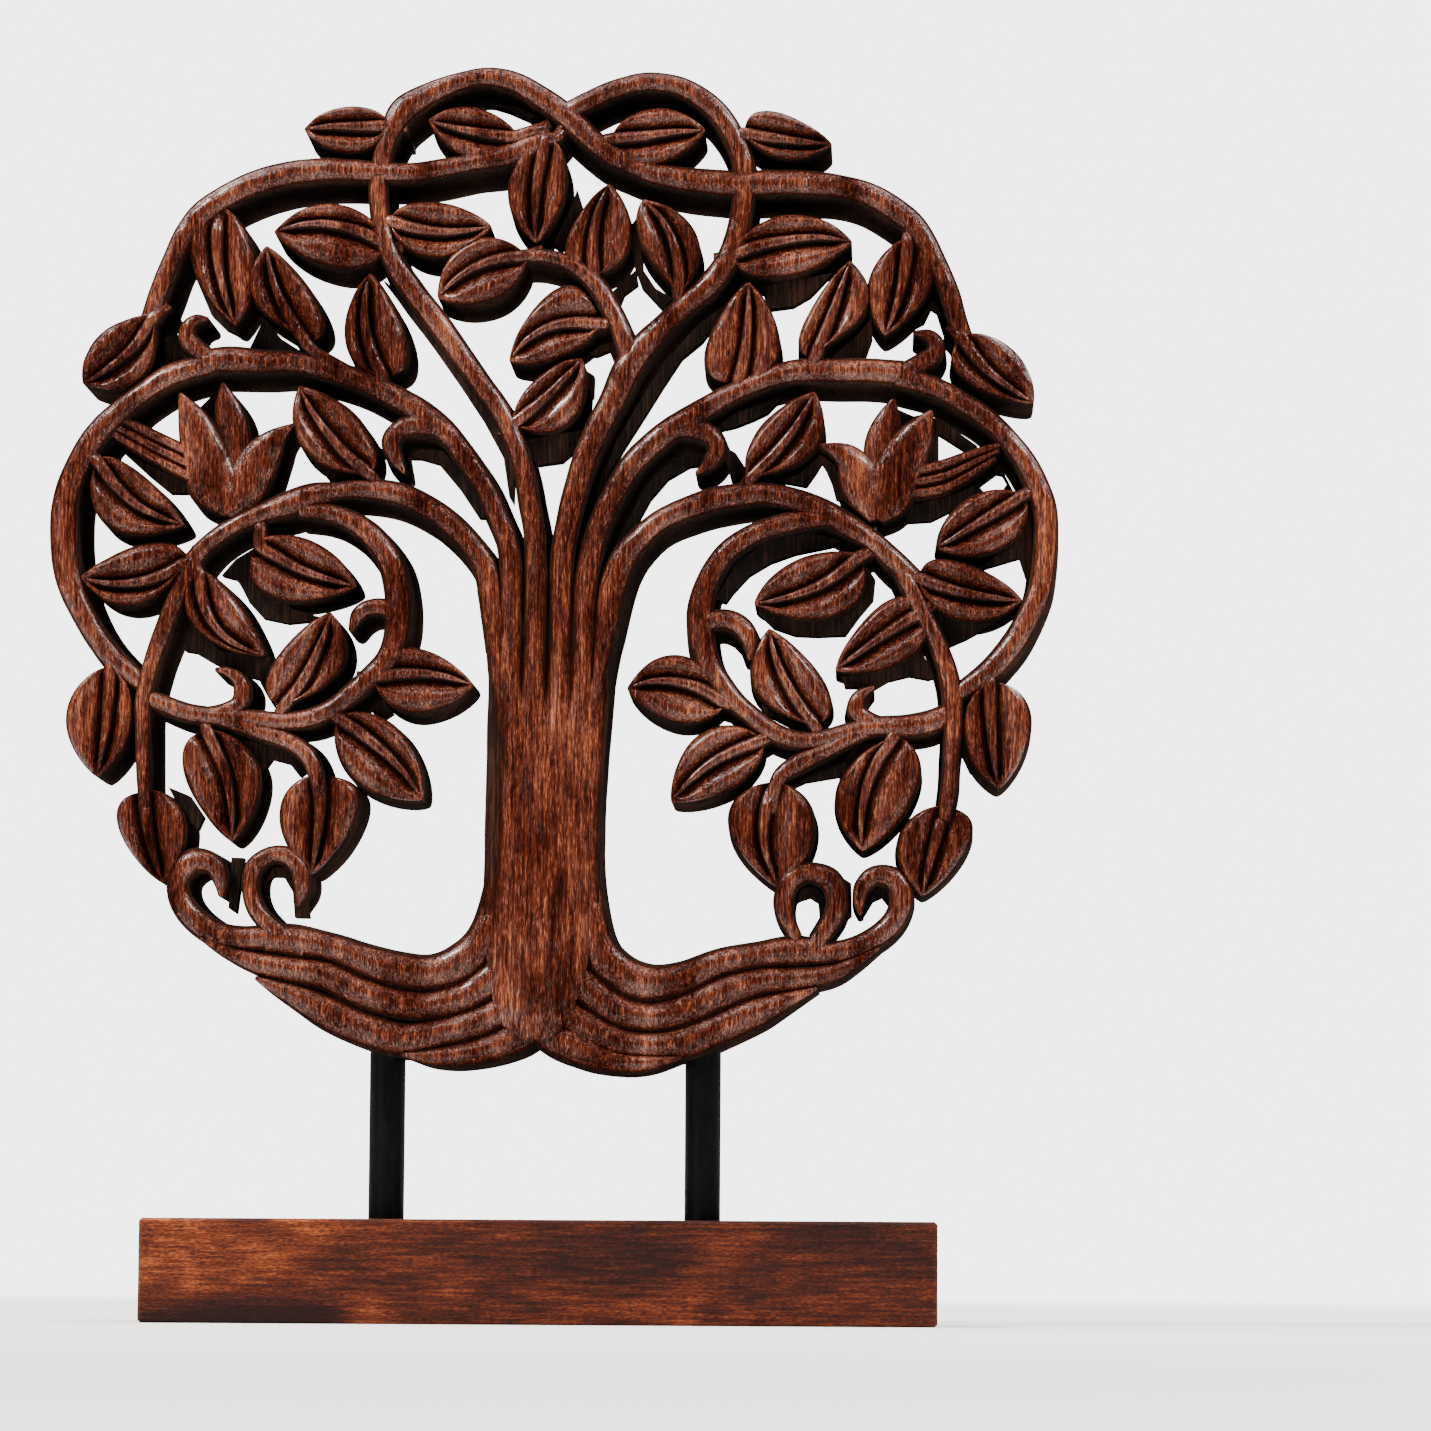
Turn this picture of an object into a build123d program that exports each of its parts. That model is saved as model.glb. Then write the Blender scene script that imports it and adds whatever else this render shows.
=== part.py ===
from build123d import *
import os
from math import cos, hypot, pi, sin

# Tree of life sculpture: an openwork carving on two steel rods and a block base.
# Millimetres, +Z up. The origin is the centre of the base's underside, and the carving faces -Y.

# ---------------------------------------------------------------- driving dimensions
base_length = 220.0
base_depth = 60.0
base_height = 28.8
base_edge = 0.8
carving_depth = 30.0
rod_diameter = 10.0
rod_offset = 44.4
rod_top = 94.0
socket_clearance = 0.1
base_socket_depth = 14.0
screw_diameter = 4.0
screw_head_diameter = 9.0
screw_head_height = 3.2
washer_diameter = 12.0
washer_thickness = 1.0
counterbore_diameter = 14.0
counterbore_depth = 8.0
screw_grip = 10.0

# ---------------------------------------------------------------- sizes derived from them
back_y = carving_depth / 2
front_y = -carving_depth / 2
bevel_depth = 0.14 * carving_depth
bevel_inset = 0.075 * carving_depth
low_relief = 0.15 * carving_depth
groove_depth = 0.11 * carving_depth
stalk_length = 5.0
stalk_width = 4.0
strand_overlap = 0.9
leaf_steps = 12
curve_steps = 3


# ---------------------------------------------------------------- outline formulas
def curve_through(points, steps=curve_steps):
    """A Catmull-Rom curve through (x, z, width) points, sampled the given number of times between them."""
    ends = [points[0]] + list(points) + [points[-1]]
    samples = []
    for index in range(1, len(ends) - 2):
        before, start, finish, after = ends[index - 1 : index + 3]
        for step in range(steps):
            t = step / steps
            sample = []
            for a, b, c, d in zip(before, start, finish, after):
                cubic = (-a + 3 * b - 3 * c + d) * t**3
                square = (2 * a - 5 * b + 4 * c - d) * t**2
                sample.append((2 * b + (c - a) * t + square + cubic) / 2)
            samples.append(tuple(sample))
    samples.append(tuple(points[-1]))
    return samples


def ribbon(points, inset=0.0):
    """The closed outline of a member that follows a centre line and has a width at each point."""
    centre = curve_through(points)
    last = len(centre) - 1
    left = []
    right = []
    for index, (x, z, width) in enumerate(centre):
        x_before, z_before, _ = centre[max(index - 1, 0)]
        x_after, z_after, _ = centre[min(index + 1, last)]
        length = hypot(x_after - x_before, z_after - z_before)
        along_x = (x_after - x_before) / length
        along_z = (z_after - z_before) / length
        side = min(inset, 0.32 * width)
        pull = min(side, 0.5 * length) * ((index == 0) - (index == last))
        middle_x = x + pull * along_x
        middle_z = z + pull * along_z
        half = width / 2 - side
        left.append((middle_x - along_z * half, middle_z + along_x * half))
        right.append((middle_x + along_z * half, middle_z - along_x * half))
    return left + right[::-1]


def leaf_side(base, tip, side, inset):
    """One edge of a leaf, from its blunt base through its widest point to its pointed tip."""
    length = hypot(tip[0] - base[0], tip[1] - base[1])
    along = ((tip[0] - base[0]) / length, (tip[1] - base[1]) / length)
    across = (-along[1], along[0])
    reach = (side[0] - base[0]) * along[0] + (side[1] - base[1]) * along[1]
    swell = (side[0] - base[0]) * across[0] + (side[1] - base[1]) * across[1]
    swell -= inset * (1 if swell > 0 else -1)
    widest = min(max(reach / length, 0.25), 0.7)
    tip_power = 0.8
    base_power = tip_power * widest / (1 - widest)
    peak = widest**base_power * (1 - widest) ** tip_power
    edge = []
    for step in range(leaf_steps + 1):
        t = (1 - cos(pi * step / leaf_steps)) / 2
        bulge = swell * t**base_power * (1 - t) ** tip_power / peak
        travel = inset + (length - 2.4 * inset) * t
        x = base[0] + along[0] * travel + across[0] * bulge
        z = base[1] + along[1] * travel + across[1] * bulge
        edge.append((x, z))
    return edge


def leaf_outline(base, tip, side_a, side_b, inset=0.0):
    """The closed outline of a leaf."""
    edge_a = leaf_side(base, tip, side_a, inset)
    edge_b = leaf_side(base, tip, side_b, inset)
    return edge_a + edge_b[-2:0:-1]


def rib_point(base, tip, rib, t, sideways=0.0):
    """A point on the bowed midrib of a leaf, or beside it."""
    length = hypot(tip[0] - base[0], tip[1] - base[1])
    along = ((tip[0] - base[0]) / length, (tip[1] - base[1]) / length)
    across = (-along[1], along[0])
    bow = (rib[0] - base[0]) * across[0] + (rib[1] - base[1]) * across[1]
    offset = 4 * t * (1 - t) * bow + sideways
    return (
        base[0] + along[0] * length * t + across[0] * offset,
        base[1] + along[1] * length * t + across[1] * offset,
    )


def inset_polygon(points, distance):
    """The same polygon with every corner moved inwards, for the front edge of a bevel."""
    count = len(points)
    area = 0.0
    for (ax, az), (bx, bz) in zip(points, points[1:] + points[:1]):
        area += ax * bz - bx * az
    turn = 1 if area > 0 else -1
    moved = []
    for index in range(count):
        (ax, az), (bx, bz), (cx, cz) = points[index - 1], points[index], points[(index + 1) % count]
        first = hypot(bx - ax, bz - az)
        second = hypot(cx - bx, cz - bz)
        normal_x = turn * (-(bz - az) / first - (cz - bz) / second)
        normal_z = turn * ((bx - ax) / first + (cx - bx) / second)
        size = max(hypot(normal_x, normal_z), 0.4)
        stretch = min(2 / size, 1.2)
        moved.append((bx + distance * stretch * normal_x / size, bz + distance * stretch * normal_z / size))
    return moved


# ---------------------------------------------------------------- solids from outlines
def faceted(back_loop, front_loop, level, front):
    """A board with the back outline, straight walls up to a level, and a bevel in to the front outline."""
    rings = [
        [Vector(x, back_y, z) for x, z in back_loop],
        [Vector(x, level, z) for x, z in back_loop],
        [Vector(x, front, z) for x, z in front_loop],
    ]
    faces = [Face(Wire.make_polygon(rings[0])), Face(Wire.make_polygon(rings[2]))]
    count = len(back_loop)
    for index in range(count):
        following = (index + 1) % count
        back, back_next = rings[0][index], rings[0][following]
        edge, edge_next = rings[1][index], rings[1][following]
        crest, crest_next = rings[2][index], rings[2][following]
        faces.append(Face(Wire.make_polygon([back, back_next, edge_next, edge])))
        faces.append(Face(Wire.make_polygon([edge, edge_next, crest_next])))
        faces.append(Face(Wire.make_polygon([edge, crest_next, crest])))
    return Solid(Shell(faces))


def groove_cutter(path, half_width, depth, front):
    """A V-shaped cutter that follows a path and runs out to nothing at both ends."""
    last = len(path) - 1
    above = front - 0.6
    left = []
    right = []
    bottom = []
    for index, (x, z) in enumerate(path):
        x_before, z_before = path[max(index - 1, 0)]
        x_after, z_after = path[min(index + 1, last)]
        length = hypot(x_after - x_before, z_after - z_before)
        swell = sin(pi * index / last) ** 0.6 if 0 < index < last else 0.0
        step_x = (z_after - z_before) / length * half_width * swell
        step_z = (x_after - x_before) / length * half_width * swell
        left.append(Vector(x - step_x, above, z + step_z))
        right.append(Vector(x + step_x, above, z - step_z))
        bottom.append(Vector(x, above + (depth + 0.6) * swell, z))
    faces = [Face(Wire.make_polygon(left + right[-2:0:-1]))]
    for side in (left, right):
        for index in range(last):
            if index < last - 1:
                faces.append(Face(Wire.make_polygon([side[index], side[index + 1], bottom[index + 1]])))
            else:
                faces.append(Face(Wire.make_polygon([side[index], side[index + 1], bottom[index]])))
            if 0 < index < last - 1:
                faces.append(Face(Wire.make_polygon([side[index], bottom[index + 1], bottom[index]])))
    return Solid(Shell(faces))


def prism(outline):
    """The full-depth board of an outline, a little longer at both ends, to cut other members with."""
    with BuildPart() as board:
        with BuildSketch(Plane.XZ.offset(-back_y - 1)):
            Polygon(*outline, align=None)
        extrude(amount=carving_depth + 2)
    return board.part


def boxes_meet(first, second):
    """Whether the bounding boxes of two outlines overlap."""
    for axis in (0, 1):
        if max(p[axis] for p in first) < min(p[axis] for p in second):
            return False
        if max(p[axis] for p in second) < min(p[axis] for p in first):
            return False
    return True


# ---------------------------------------------------------------- the carved members
# Limbs, branches, twigs, buds, roots and curls: centre line points as (x, z, width).
limbs = {
    "ring_left_upper": [
        (-113.5, 281, 5), (-112, 285, 5.5), (-109.5, 292, 6), (-106.8, 299, 5.8), (-103, 305.5, 6),
        (-98, 311.7, 7), (-91, 316.8, 7), (-83, 320.6, 7), (-75, 323, 7), (-66, 324, 7), (-57, 324.3, 6.8),
        (-48.5, 324, 6.5), (-40, 323.8, 6), (-31, 325, 6), (-22, 326.8, 5.5), (-13, 328, 6), (-8.5, 328.8, 6),
    ],
    "ring_right_upper": [
        (26, 324.8, 6.5), (33, 322.8, 7), (42, 321.5, 8), (52, 320.8, 8.3), (62, 320.8, 8.3), (72, 320.7, 8),
        (80, 320.2, 7.5), (88, 318.2, 7.3), (95, 315, 7.5), (101, 310.5, 7.5), (106, 304.3, 7), (110, 297, 6),
        (113, 289.5, 5.8), (115, 282.5, 5.6), (117.3, 276, 5.4),
    ],
    "crown_arch_left": [
        (-48.5, 321, 5.5), (-47.3, 329.5, 5.5), (-45, 335.5, 5.8), (-40.5, 341, 6.5), (-33.5, 346, 6),
        (-25.5, 350, 6), (-18, 351.3, 6), (-10, 349.8, 6.5), (-3, 345.8, 7), (4, 340.5, 7.5), (11, 334, 7),
        (18, 328.5, 6.5), (27, 324.6, 6.5),
    ],
    "crown_arch_right": [
        (55.5, 319, 7), (54.5, 328, 6.5), (52, 334.5, 6.5), (48, 340.5, 6.5), (42.5, 345.4, 6.5),
        (35.5, 348.9, 6.2), (27, 349.8, 6), (18, 347.7, 6), (10, 344, 6), (3, 340.5, 6),
    ],
    "limb_left_low": [
        (-14.5, 196, 6.5), (-16.8, 210, 6.8), (-21.5, 218, 6.8), (-28, 224.5, 7), (-35, 229, 7.2),
        (-43, 232.3, 7), (-52, 233.3, 6), (-60, 232.7, 5), (-69, 231.3, 6),
    ],
    "limb_left_mid": [
        (-10, 196, 5.5), (-9.8, 210, 6.2), (-11.5, 220, 6.3), (-15.5, 230, 6.6), (-20.5, 239, 6.8),
        (-26.5, 247, 6.8), (-33, 253.3, 7.5), (-40, 258, 7.5), (-50, 263, 6.8), (-60, 266.7, 6.5),
        (-70, 269.3, 6.5), (-80, 269.6, 7.2), (-90, 270, 7.8), (-98, 269.5, 7.2),
    ],
    "limb_left_high": [
        (-3, 196, 6), (-2.8, 210, 6.2), (-3.3, 220, 6.2), (-5, 230, 6.2), (-7, 240, 6), (-9.5, 248, 6),
        (-13.5, 256, 6.3), (-18.7, 263.5, 6.5), (-24.5, 271.5, 6.8), (-31, 280.5, 7), (-38, 289.5, 7),
        (-44, 298.5, 6.5), (-47.2, 307, 6), (-48.5, 315, 5.5), (-48.5, 323, 5.5),
    ],
    "limb_right_high": [
        (4.3, 196, 5.5), (4.3, 210, 6.5), (5.3, 220, 7), (7.3, 230, 7.3), (10, 240, 7.6), (14, 250, 8),
        (18.5, 259, 8.3), (22.5, 268, 9), (28, 275.5, 8), (34, 281.5, 7), (40, 286.8, 7), (46, 292.5, 7.5),
        (50.5, 299, 7), (53, 306, 6.5), (54.5, 313, 6.5), (55.5, 321, 7),
    ],
    "limb_right_mid": [
        (10.8, 196, 6), (11.3, 208, 6.5), (13.3, 218, 6.8), (16.5, 227, 7), (20.5, 235, 7.2),
        (25.5, 242.3, 7.5), (32, 248.3, 7.8), (39.5, 253.3, 7.5), (47, 258, 6.8), (54.5, 262, 6),
        (62, 265, 6.5), (70, 266.7, 7), (80, 266.8, 7), (90, 266.8, 7), (100, 266.3, 7.5),
    ],
    "limb_right_low": [
        (18.2, 196, 8.6), (19.2, 206, 9.4), (21.8, 213, 8.6), (26, 219.2, 7.4), (32.5, 224.7, 6.6),
        (40.5, 228.4, 7), (50, 231.3, 7.5), (60, 232.3, 7), (69, 230.6, 6),
    ],
    "branch_right_fork": [
        (24, 270, 8), (20.5, 279, 6), (17.3, 285, 6), (13.5, 291.5, 6), (9.5, 295.3, 5), (4.5, 298.3, 4.5),
        (-2, 300, 4.2),
    ],
    "ring_left_lower": [
        (-96, 269.3, 7), (-106, 266, 7), (-114, 261, 6.5), (-121, 255.5, 7.3), (-127.5, 248.5, 7.6),
        (-132.3, 240.5, 7.6), (-135.5, 231.5, 8), (-136.3, 222, 8.3), (-135.6, 213, 8.3), (-133, 204, 7.8),
        (-129.5, 196.5, 7), (-125.5, 190, 6.8), (-120.5, 184, 7), (-113, 178, 5),
    ],
    "ring_right_lower": [
        (98, 266.5, 8), (110, 262.2, 6.5), (118, 257.3, 6.5), (125, 252.3, 6.5), (131, 246, 6.5),
        (136, 238.5, 6.8), (139.3, 230, 7), (140.3, 221, 7), (139.6, 212, 7), (137.8, 203.5, 7),
        (134.3, 195.5, 7.3), (129, 187.5, 7.3), (123.5, 181.5, 7), (115, 175.8, 5),
    ],
    "branch_left_sweep": [
        (-64, 232, 8), (-73, 229, 8), (-80, 226.5, 6), (-88, 222.8, 5.5), (-95, 218, 5.5), (-100, 212.5, 6.5),
    ],
    "branch_right_sweep": [
        (65, 231.8, 6), (73, 229.3, 7.5), (80, 226, 8), (87, 221.8, 7), (93, 217.5, 6.3), (99, 212, 6.5),
        (104.5, 207.8, 6),
    ],
    "branch_left_inner": [
        (-41.7, 196, 8.5), (-41.7, 205, 8), (-44, 213, 7.5), (-49, 220, 7), (-55.5, 224.5, 6.3),
        (-62, 226.7, 5.6), (-70, 227.5, 6),
    ],
    "branch_right_inner": [
        (43.3, 190, 8), (43.3, 197, 7.8), (44.3, 204, 7), (47, 210.5, 6.8), (51.5, 216.3, 6.5),
        (57.5, 220.5, 6.3), (65, 222.8, 6.3), (73, 223, 6.5), (81, 222, 6),
    ],
    "stem_left_low": [
        (-98.5, 215, 6), (-103, 205, 5.8), (-107, 194.5, 5.5), (-110.6, 184.5, 5.2), (-112.8, 174, 4.8),
        (-112.9, 163, 4.2), (-112.5, 152, 4), (-112, 145, 4),
    ],
    "stem_right_low": [
        (100, 212, 6), (103.3, 203.5, 5.5), (106.3, 197.5, 5.2), (110, 190, 5.3), (112.8, 182, 5.6),
        (114, 174, 6), (114.3, 166, 5.3), (113.5, 157, 4.8), (113, 149.5, 4.8), (111.8, 142, 4.5),
    ],
    "twig_left_inner": [
        (-41.7, 197, 8.5), (-42, 191, 7.8), (-44, 186, 7), (-48, 181.3, 6.5), (-53, 176.5, 6.5),
        (-59, 171.8, 6), (-66, 168.6, 5.8), (-74, 167.6, 5.5), (-83, 168.3, 5.3), (-92, 168.8, 5.5),
        (-100, 169.8, 5.5), (-107, 172.3, 5.5), (-113, 175, 5),
    ],
    "twig_right_inner": [
        (43.3, 191, 8), (45.5, 185, 7), (48.5, 180, 6.3), (52.5, 174.5, 6), (57.5, 169.8, 5.8),
        (63.5, 165.2, 5.8), (70, 162.8, 5.8), (77, 163, 5.5), (85, 165, 5.5), (93, 166.6, 6), (101, 166.6, 7),
        (108, 168, 7.2), (114, 171, 6),
    ],
}
low_twigs = {
    "low_twig_left": [
        (-91, 168.5, 5), (-81, 165, 5), (-73, 162.5, 5.3), (-67, 158, 5.3), (-63.5, 152.5, 4.8),
    ],
    "low_twig_right": [
        (88, 165, 5), (79, 160, 5.5), (72, 156.3, 5.8), (66, 151.5, 4.8),
    ],
}
buds_left = {
    "bud_left_inner": [(-42, 198.5, 5.5), (-48.5, 200, 5), (-52.3, 198, 4.6), (-54.3, 194.5, 3.2)],
    "bud_left_middle": [
        (-34, 252, 7), (-40.5, 251, 6.5), (-44.3, 247.5, 6), (-43, 242.5, 5), (-40.8, 239, 2.8),
    ],
    "bud_left_upper": [
        (-94, 268, 6), (-99.5, 273.5, 6), (-102, 278, 5.5), (-100.5, 281.3, 4.3), (-97.5, 281.8, 2.6),
    ],
    "bud_left_lower": [
        (-95, 169.5, 5), (-88, 171, 5.5), (-84.7, 175, 5.3), (-85.8, 179, 4.6), (-88.5, 181.3, 3.6),
        (-91, 182, 2.4),
    ],
}
buds_right = {
    "bud_right_inner": [
        (44, 196, 6), (50.5, 196.3, 6.3), (55, 194.3, 6.2), (57.3, 190.3, 5.2), (57.5, 186.8, 3.2),
    ],
    "bud_right_middle": [
        (38, 251, 7), (45, 249, 6.5), (47.8, 245.5, 6), (46, 241.5, 5), (43, 238.5, 3),
    ],
    "bud_right_upper": [
        (101, 266, 7), (106.5, 270.5, 5.6), (109.3, 273.6, 5.4), (107.8, 276.6, 4.4), (104, 277.8, 2.6),
    ],
    "bud_right_lower": [
        (95, 167, 5), (89.7, 168.5, 6), (87.3, 171.7, 5.5), (88.3, 175, 4.2), (91, 177, 2.4),
    ],
}
roots = {
    "root_left_upper": [
        (-12.5, 116, 7), (-16.5, 106, 10), (-23, 100, 10.5), (-31, 97.4, 9.8), (-40, 98, 10), (-50, 101, 9),
        (-60, 104.5, 8), (-70, 106.3, 9), (-78, 106.5, 8),
    ],
    "root_left_second": [
        (-9, 108, 8), (-12.5, 98.5, 9.5), (-20, 91.8, 9), (-30, 88.4, 8.2), (-40, 88.7, 8.3), (-50, 91.6, 9),
        (-60, 96.2, 8.5), (-70, 98, 7.3), (-80, 99.5, 6.5), (-90, 102.5, 3), (-97, 105.5, 1),
    ],
    "root_left_third": [
        (-4, 100, 8), (-8, 90, 9), (-18, 83.7, 8.8), (-30, 80.2, 8.3), (-40, 79, 9.5), (-50, 81.6, 9.8),
        (-60, 86.2, 9.5), (-70, 90.5, 6.5), (-80, 94.3, 1.5),
    ],
    "root_left_lowest": [
        (0, 92, 9), (-4, 82, 10), (-12, 77, 9.2), (-22, 73.9, 7.2), (-31, 73.1, 4.6), (-38, 73.6, 1.5),
    ],
    "root_right_upper": [
        (11.5, 118, 8), (14, 106, 10), (21, 98, 11), (30, 94.7, 10.5), (40, 96.5, 9), (50, 100.7, 7.6),
        (60, 102.7, 7), (70, 103.8, 8.5), (78, 103.5, 7),
    ],
    "root_right_second": [
        (7, 106, 8), (10.5, 95.5, 9.5), (20, 87.7, 9), (30, 85.2, 8.3), (40, 87.5, 9), (50, 92, 9.5),
        (60, 95.3, 8.5), (70, 95.9, 6.5), (80, 97, 5.6), (88, 100.3, 3), (94, 103.5, 1),
    ],
    "root_right_third": [
        (3, 98, 8), (7, 86.5, 9), (20, 79, 8.2), (30, 77.4, 7.4), (40, 78, 9.8), (50, 81.8, 10.3),
        (60, 86.3, 9.3), (69, 89.8, 5.5), (76.5, 92, 1.2),
    ],
    "root_right_lowest": [
        (0, 92, 9), (4, 82, 9.6), (11, 76.5, 8.8), (20, 72.8, 6.4), (30, 72.2, 4.2), (38, 72.8, 1.5),
    ],
}
curls = {
    "root_curl_left_outer": [
        (-75, 107, 7), (-84, 106.8, 7), (-91, 107.8, 7.8), (-97.5, 112, 7.5), (-101.7, 118, 6.8),
        (-102, 124, 6.8), (-98, 128.3, 7.5), (-92.8, 127.5, 6), (-90.5, 123.5, 4.8), (-90, 119.3, 2.6),
    ],
    "root_curl_left_inner": [
        (-71.5, 106.5, 6), (-76.8, 110.8, 5.6), (-80.5, 115.5, 5.2), (-82, 121, 5), (-81, 126.5, 5.4),
        (-76.5, 130, 5), (-71.5, 129.6, 5.4), (-68.2, 126, 5.4), (-67.4, 121, 4.6), (-68.6, 117, 3),
    ],
    "root_curl_right_inner": [
        (75.5, 105, 6), (78.6, 109.3, 5.7), (80.9, 113.6, 5.6), (81.7, 118.5, 5.8), (79.5, 123.3, 6.2),
        (74, 125.8, 6), (69, 123.3, 6.2), (67.2, 118, 6), (67.8, 113, 5), (69.5, 108.5, 4),
    ],
    "root_curl_right_outer": [
        (75, 103, 6), (85, 104.2, 6.5), (92.5, 107, 7), (98.5, 112.3, 7.5), (100.5, 118.5, 7.5), (98, 123.8, 7),
        (92.7, 124.8, 6), (89.2, 121.6, 5), (88.1, 117.5, 3.6), (88.3, 115, 2),
    ],
}

# The trunk, with thin webs that close the forks between the limbs.
trunk_outline = [
    (-2, 75.5), (-8, 84), (-13, 95), (-16, 106), (-17, 118), (-16.8, 135), (-16.3, 165), (-16, 180),
    (-16.5, 190), (-17.3, 199), (-17.3, 204), (-16.8, 216.2), (-12, 203), (-9.6, 228), (-3.5, 203),
    (0.9, 219.5), (4.3, 203), (7, 216), (14.8, 234), (14.2, 216), (12.5, 204), (19.3, 217.5), (20, 206),
    (22, 203), (22.4, 198), (20, 190), (18.5, 180), (17.7, 170), (16.9, 160), (16.3, 150), (16, 140),
    (15.5, 130), (15.7, 118), (15, 106), (11, 94), (5, 84),
]
trunk_front_share = 0.84
cusp_level = 77.0
fork_level = 200.0
web_front = front_y + 5.0

# Birds: closed outlines, and the grooves between the tail feathers.
bird_left_body = [
    (-104, 260.5), (-104.3, 255), (-103, 247), (-100, 240), (-98, 235.5), (-94, 229.5), (-89, 225),
    (-84, 229), (-80, 236), (-76, 243), (-71.8, 251.5), (-77, 250.5), (-82, 249), (-86, 245),
    (-88.5, 240), (-89.3, 243.5), (-90, 246), (-92, 250.5), (-96, 255.8), (-100, 259),
]
bird_left_rear_wing = [
    (-95.5, 256), (-94, 261), (-92, 264), (-89, 259), (-86, 253), (-85, 248), (-87, 244), (-89.3, 242),
    (-92, 247),
]
bird_left_tail = [
    (-120.5, 254), (-112, 250), (-105, 246.5), (-100, 244), (-99, 240), (-101, 236), (-108, 240), (-115, 244),
    (-122.5, 249.5),
]
bird_left_tail_grooves = [
    [(-119, 250.8), (-115, 248.6), (-111, 246.3), (-107.5, 244.2), (-104, 242)],
    [(-119, 248.2), (-115, 245.8), (-111, 243.6), (-107.5, 241.6), (-104, 239.6)],
]
bird_right_body = [
    (76.5, 246), (80, 246.3), (84, 246.5), (88, 245), (90, 243), (91.5, 238.5), (94, 243), (97, 247),
    (100, 251), (104, 253.2), (108, 255.6), (109, 252), (108, 247), (105, 242), (102, 237), (101, 231.5),
    (97, 228), (91, 224.5), (88, 229), (85, 233), (82, 238), (79, 242),
]
bird_right_rear_wing = [
    (97.5, 259.5), (99.5, 256), (99.8, 251), (97, 246), (91.6, 239.5), (90.3, 243), (90, 247), (91.5, 251),
    (94, 256),
]
bird_right_tail = [
    (100, 240.5), (104, 239.8), (110, 241.2), (118, 244.2), (128.5, 246.5), (126, 241.5), (120, 236.5),
    (114, 233), (108, 231.5), (100, 231.5),
]
bird_right_tail_grooves = [
    [(104, 237.2), (108, 237.8), (113, 238.8), (118, 240.6), (123, 243)],
    [(104, 234.2), (108, 234.6), (112, 235.6), (116, 237), (120, 239)],
]

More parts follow.
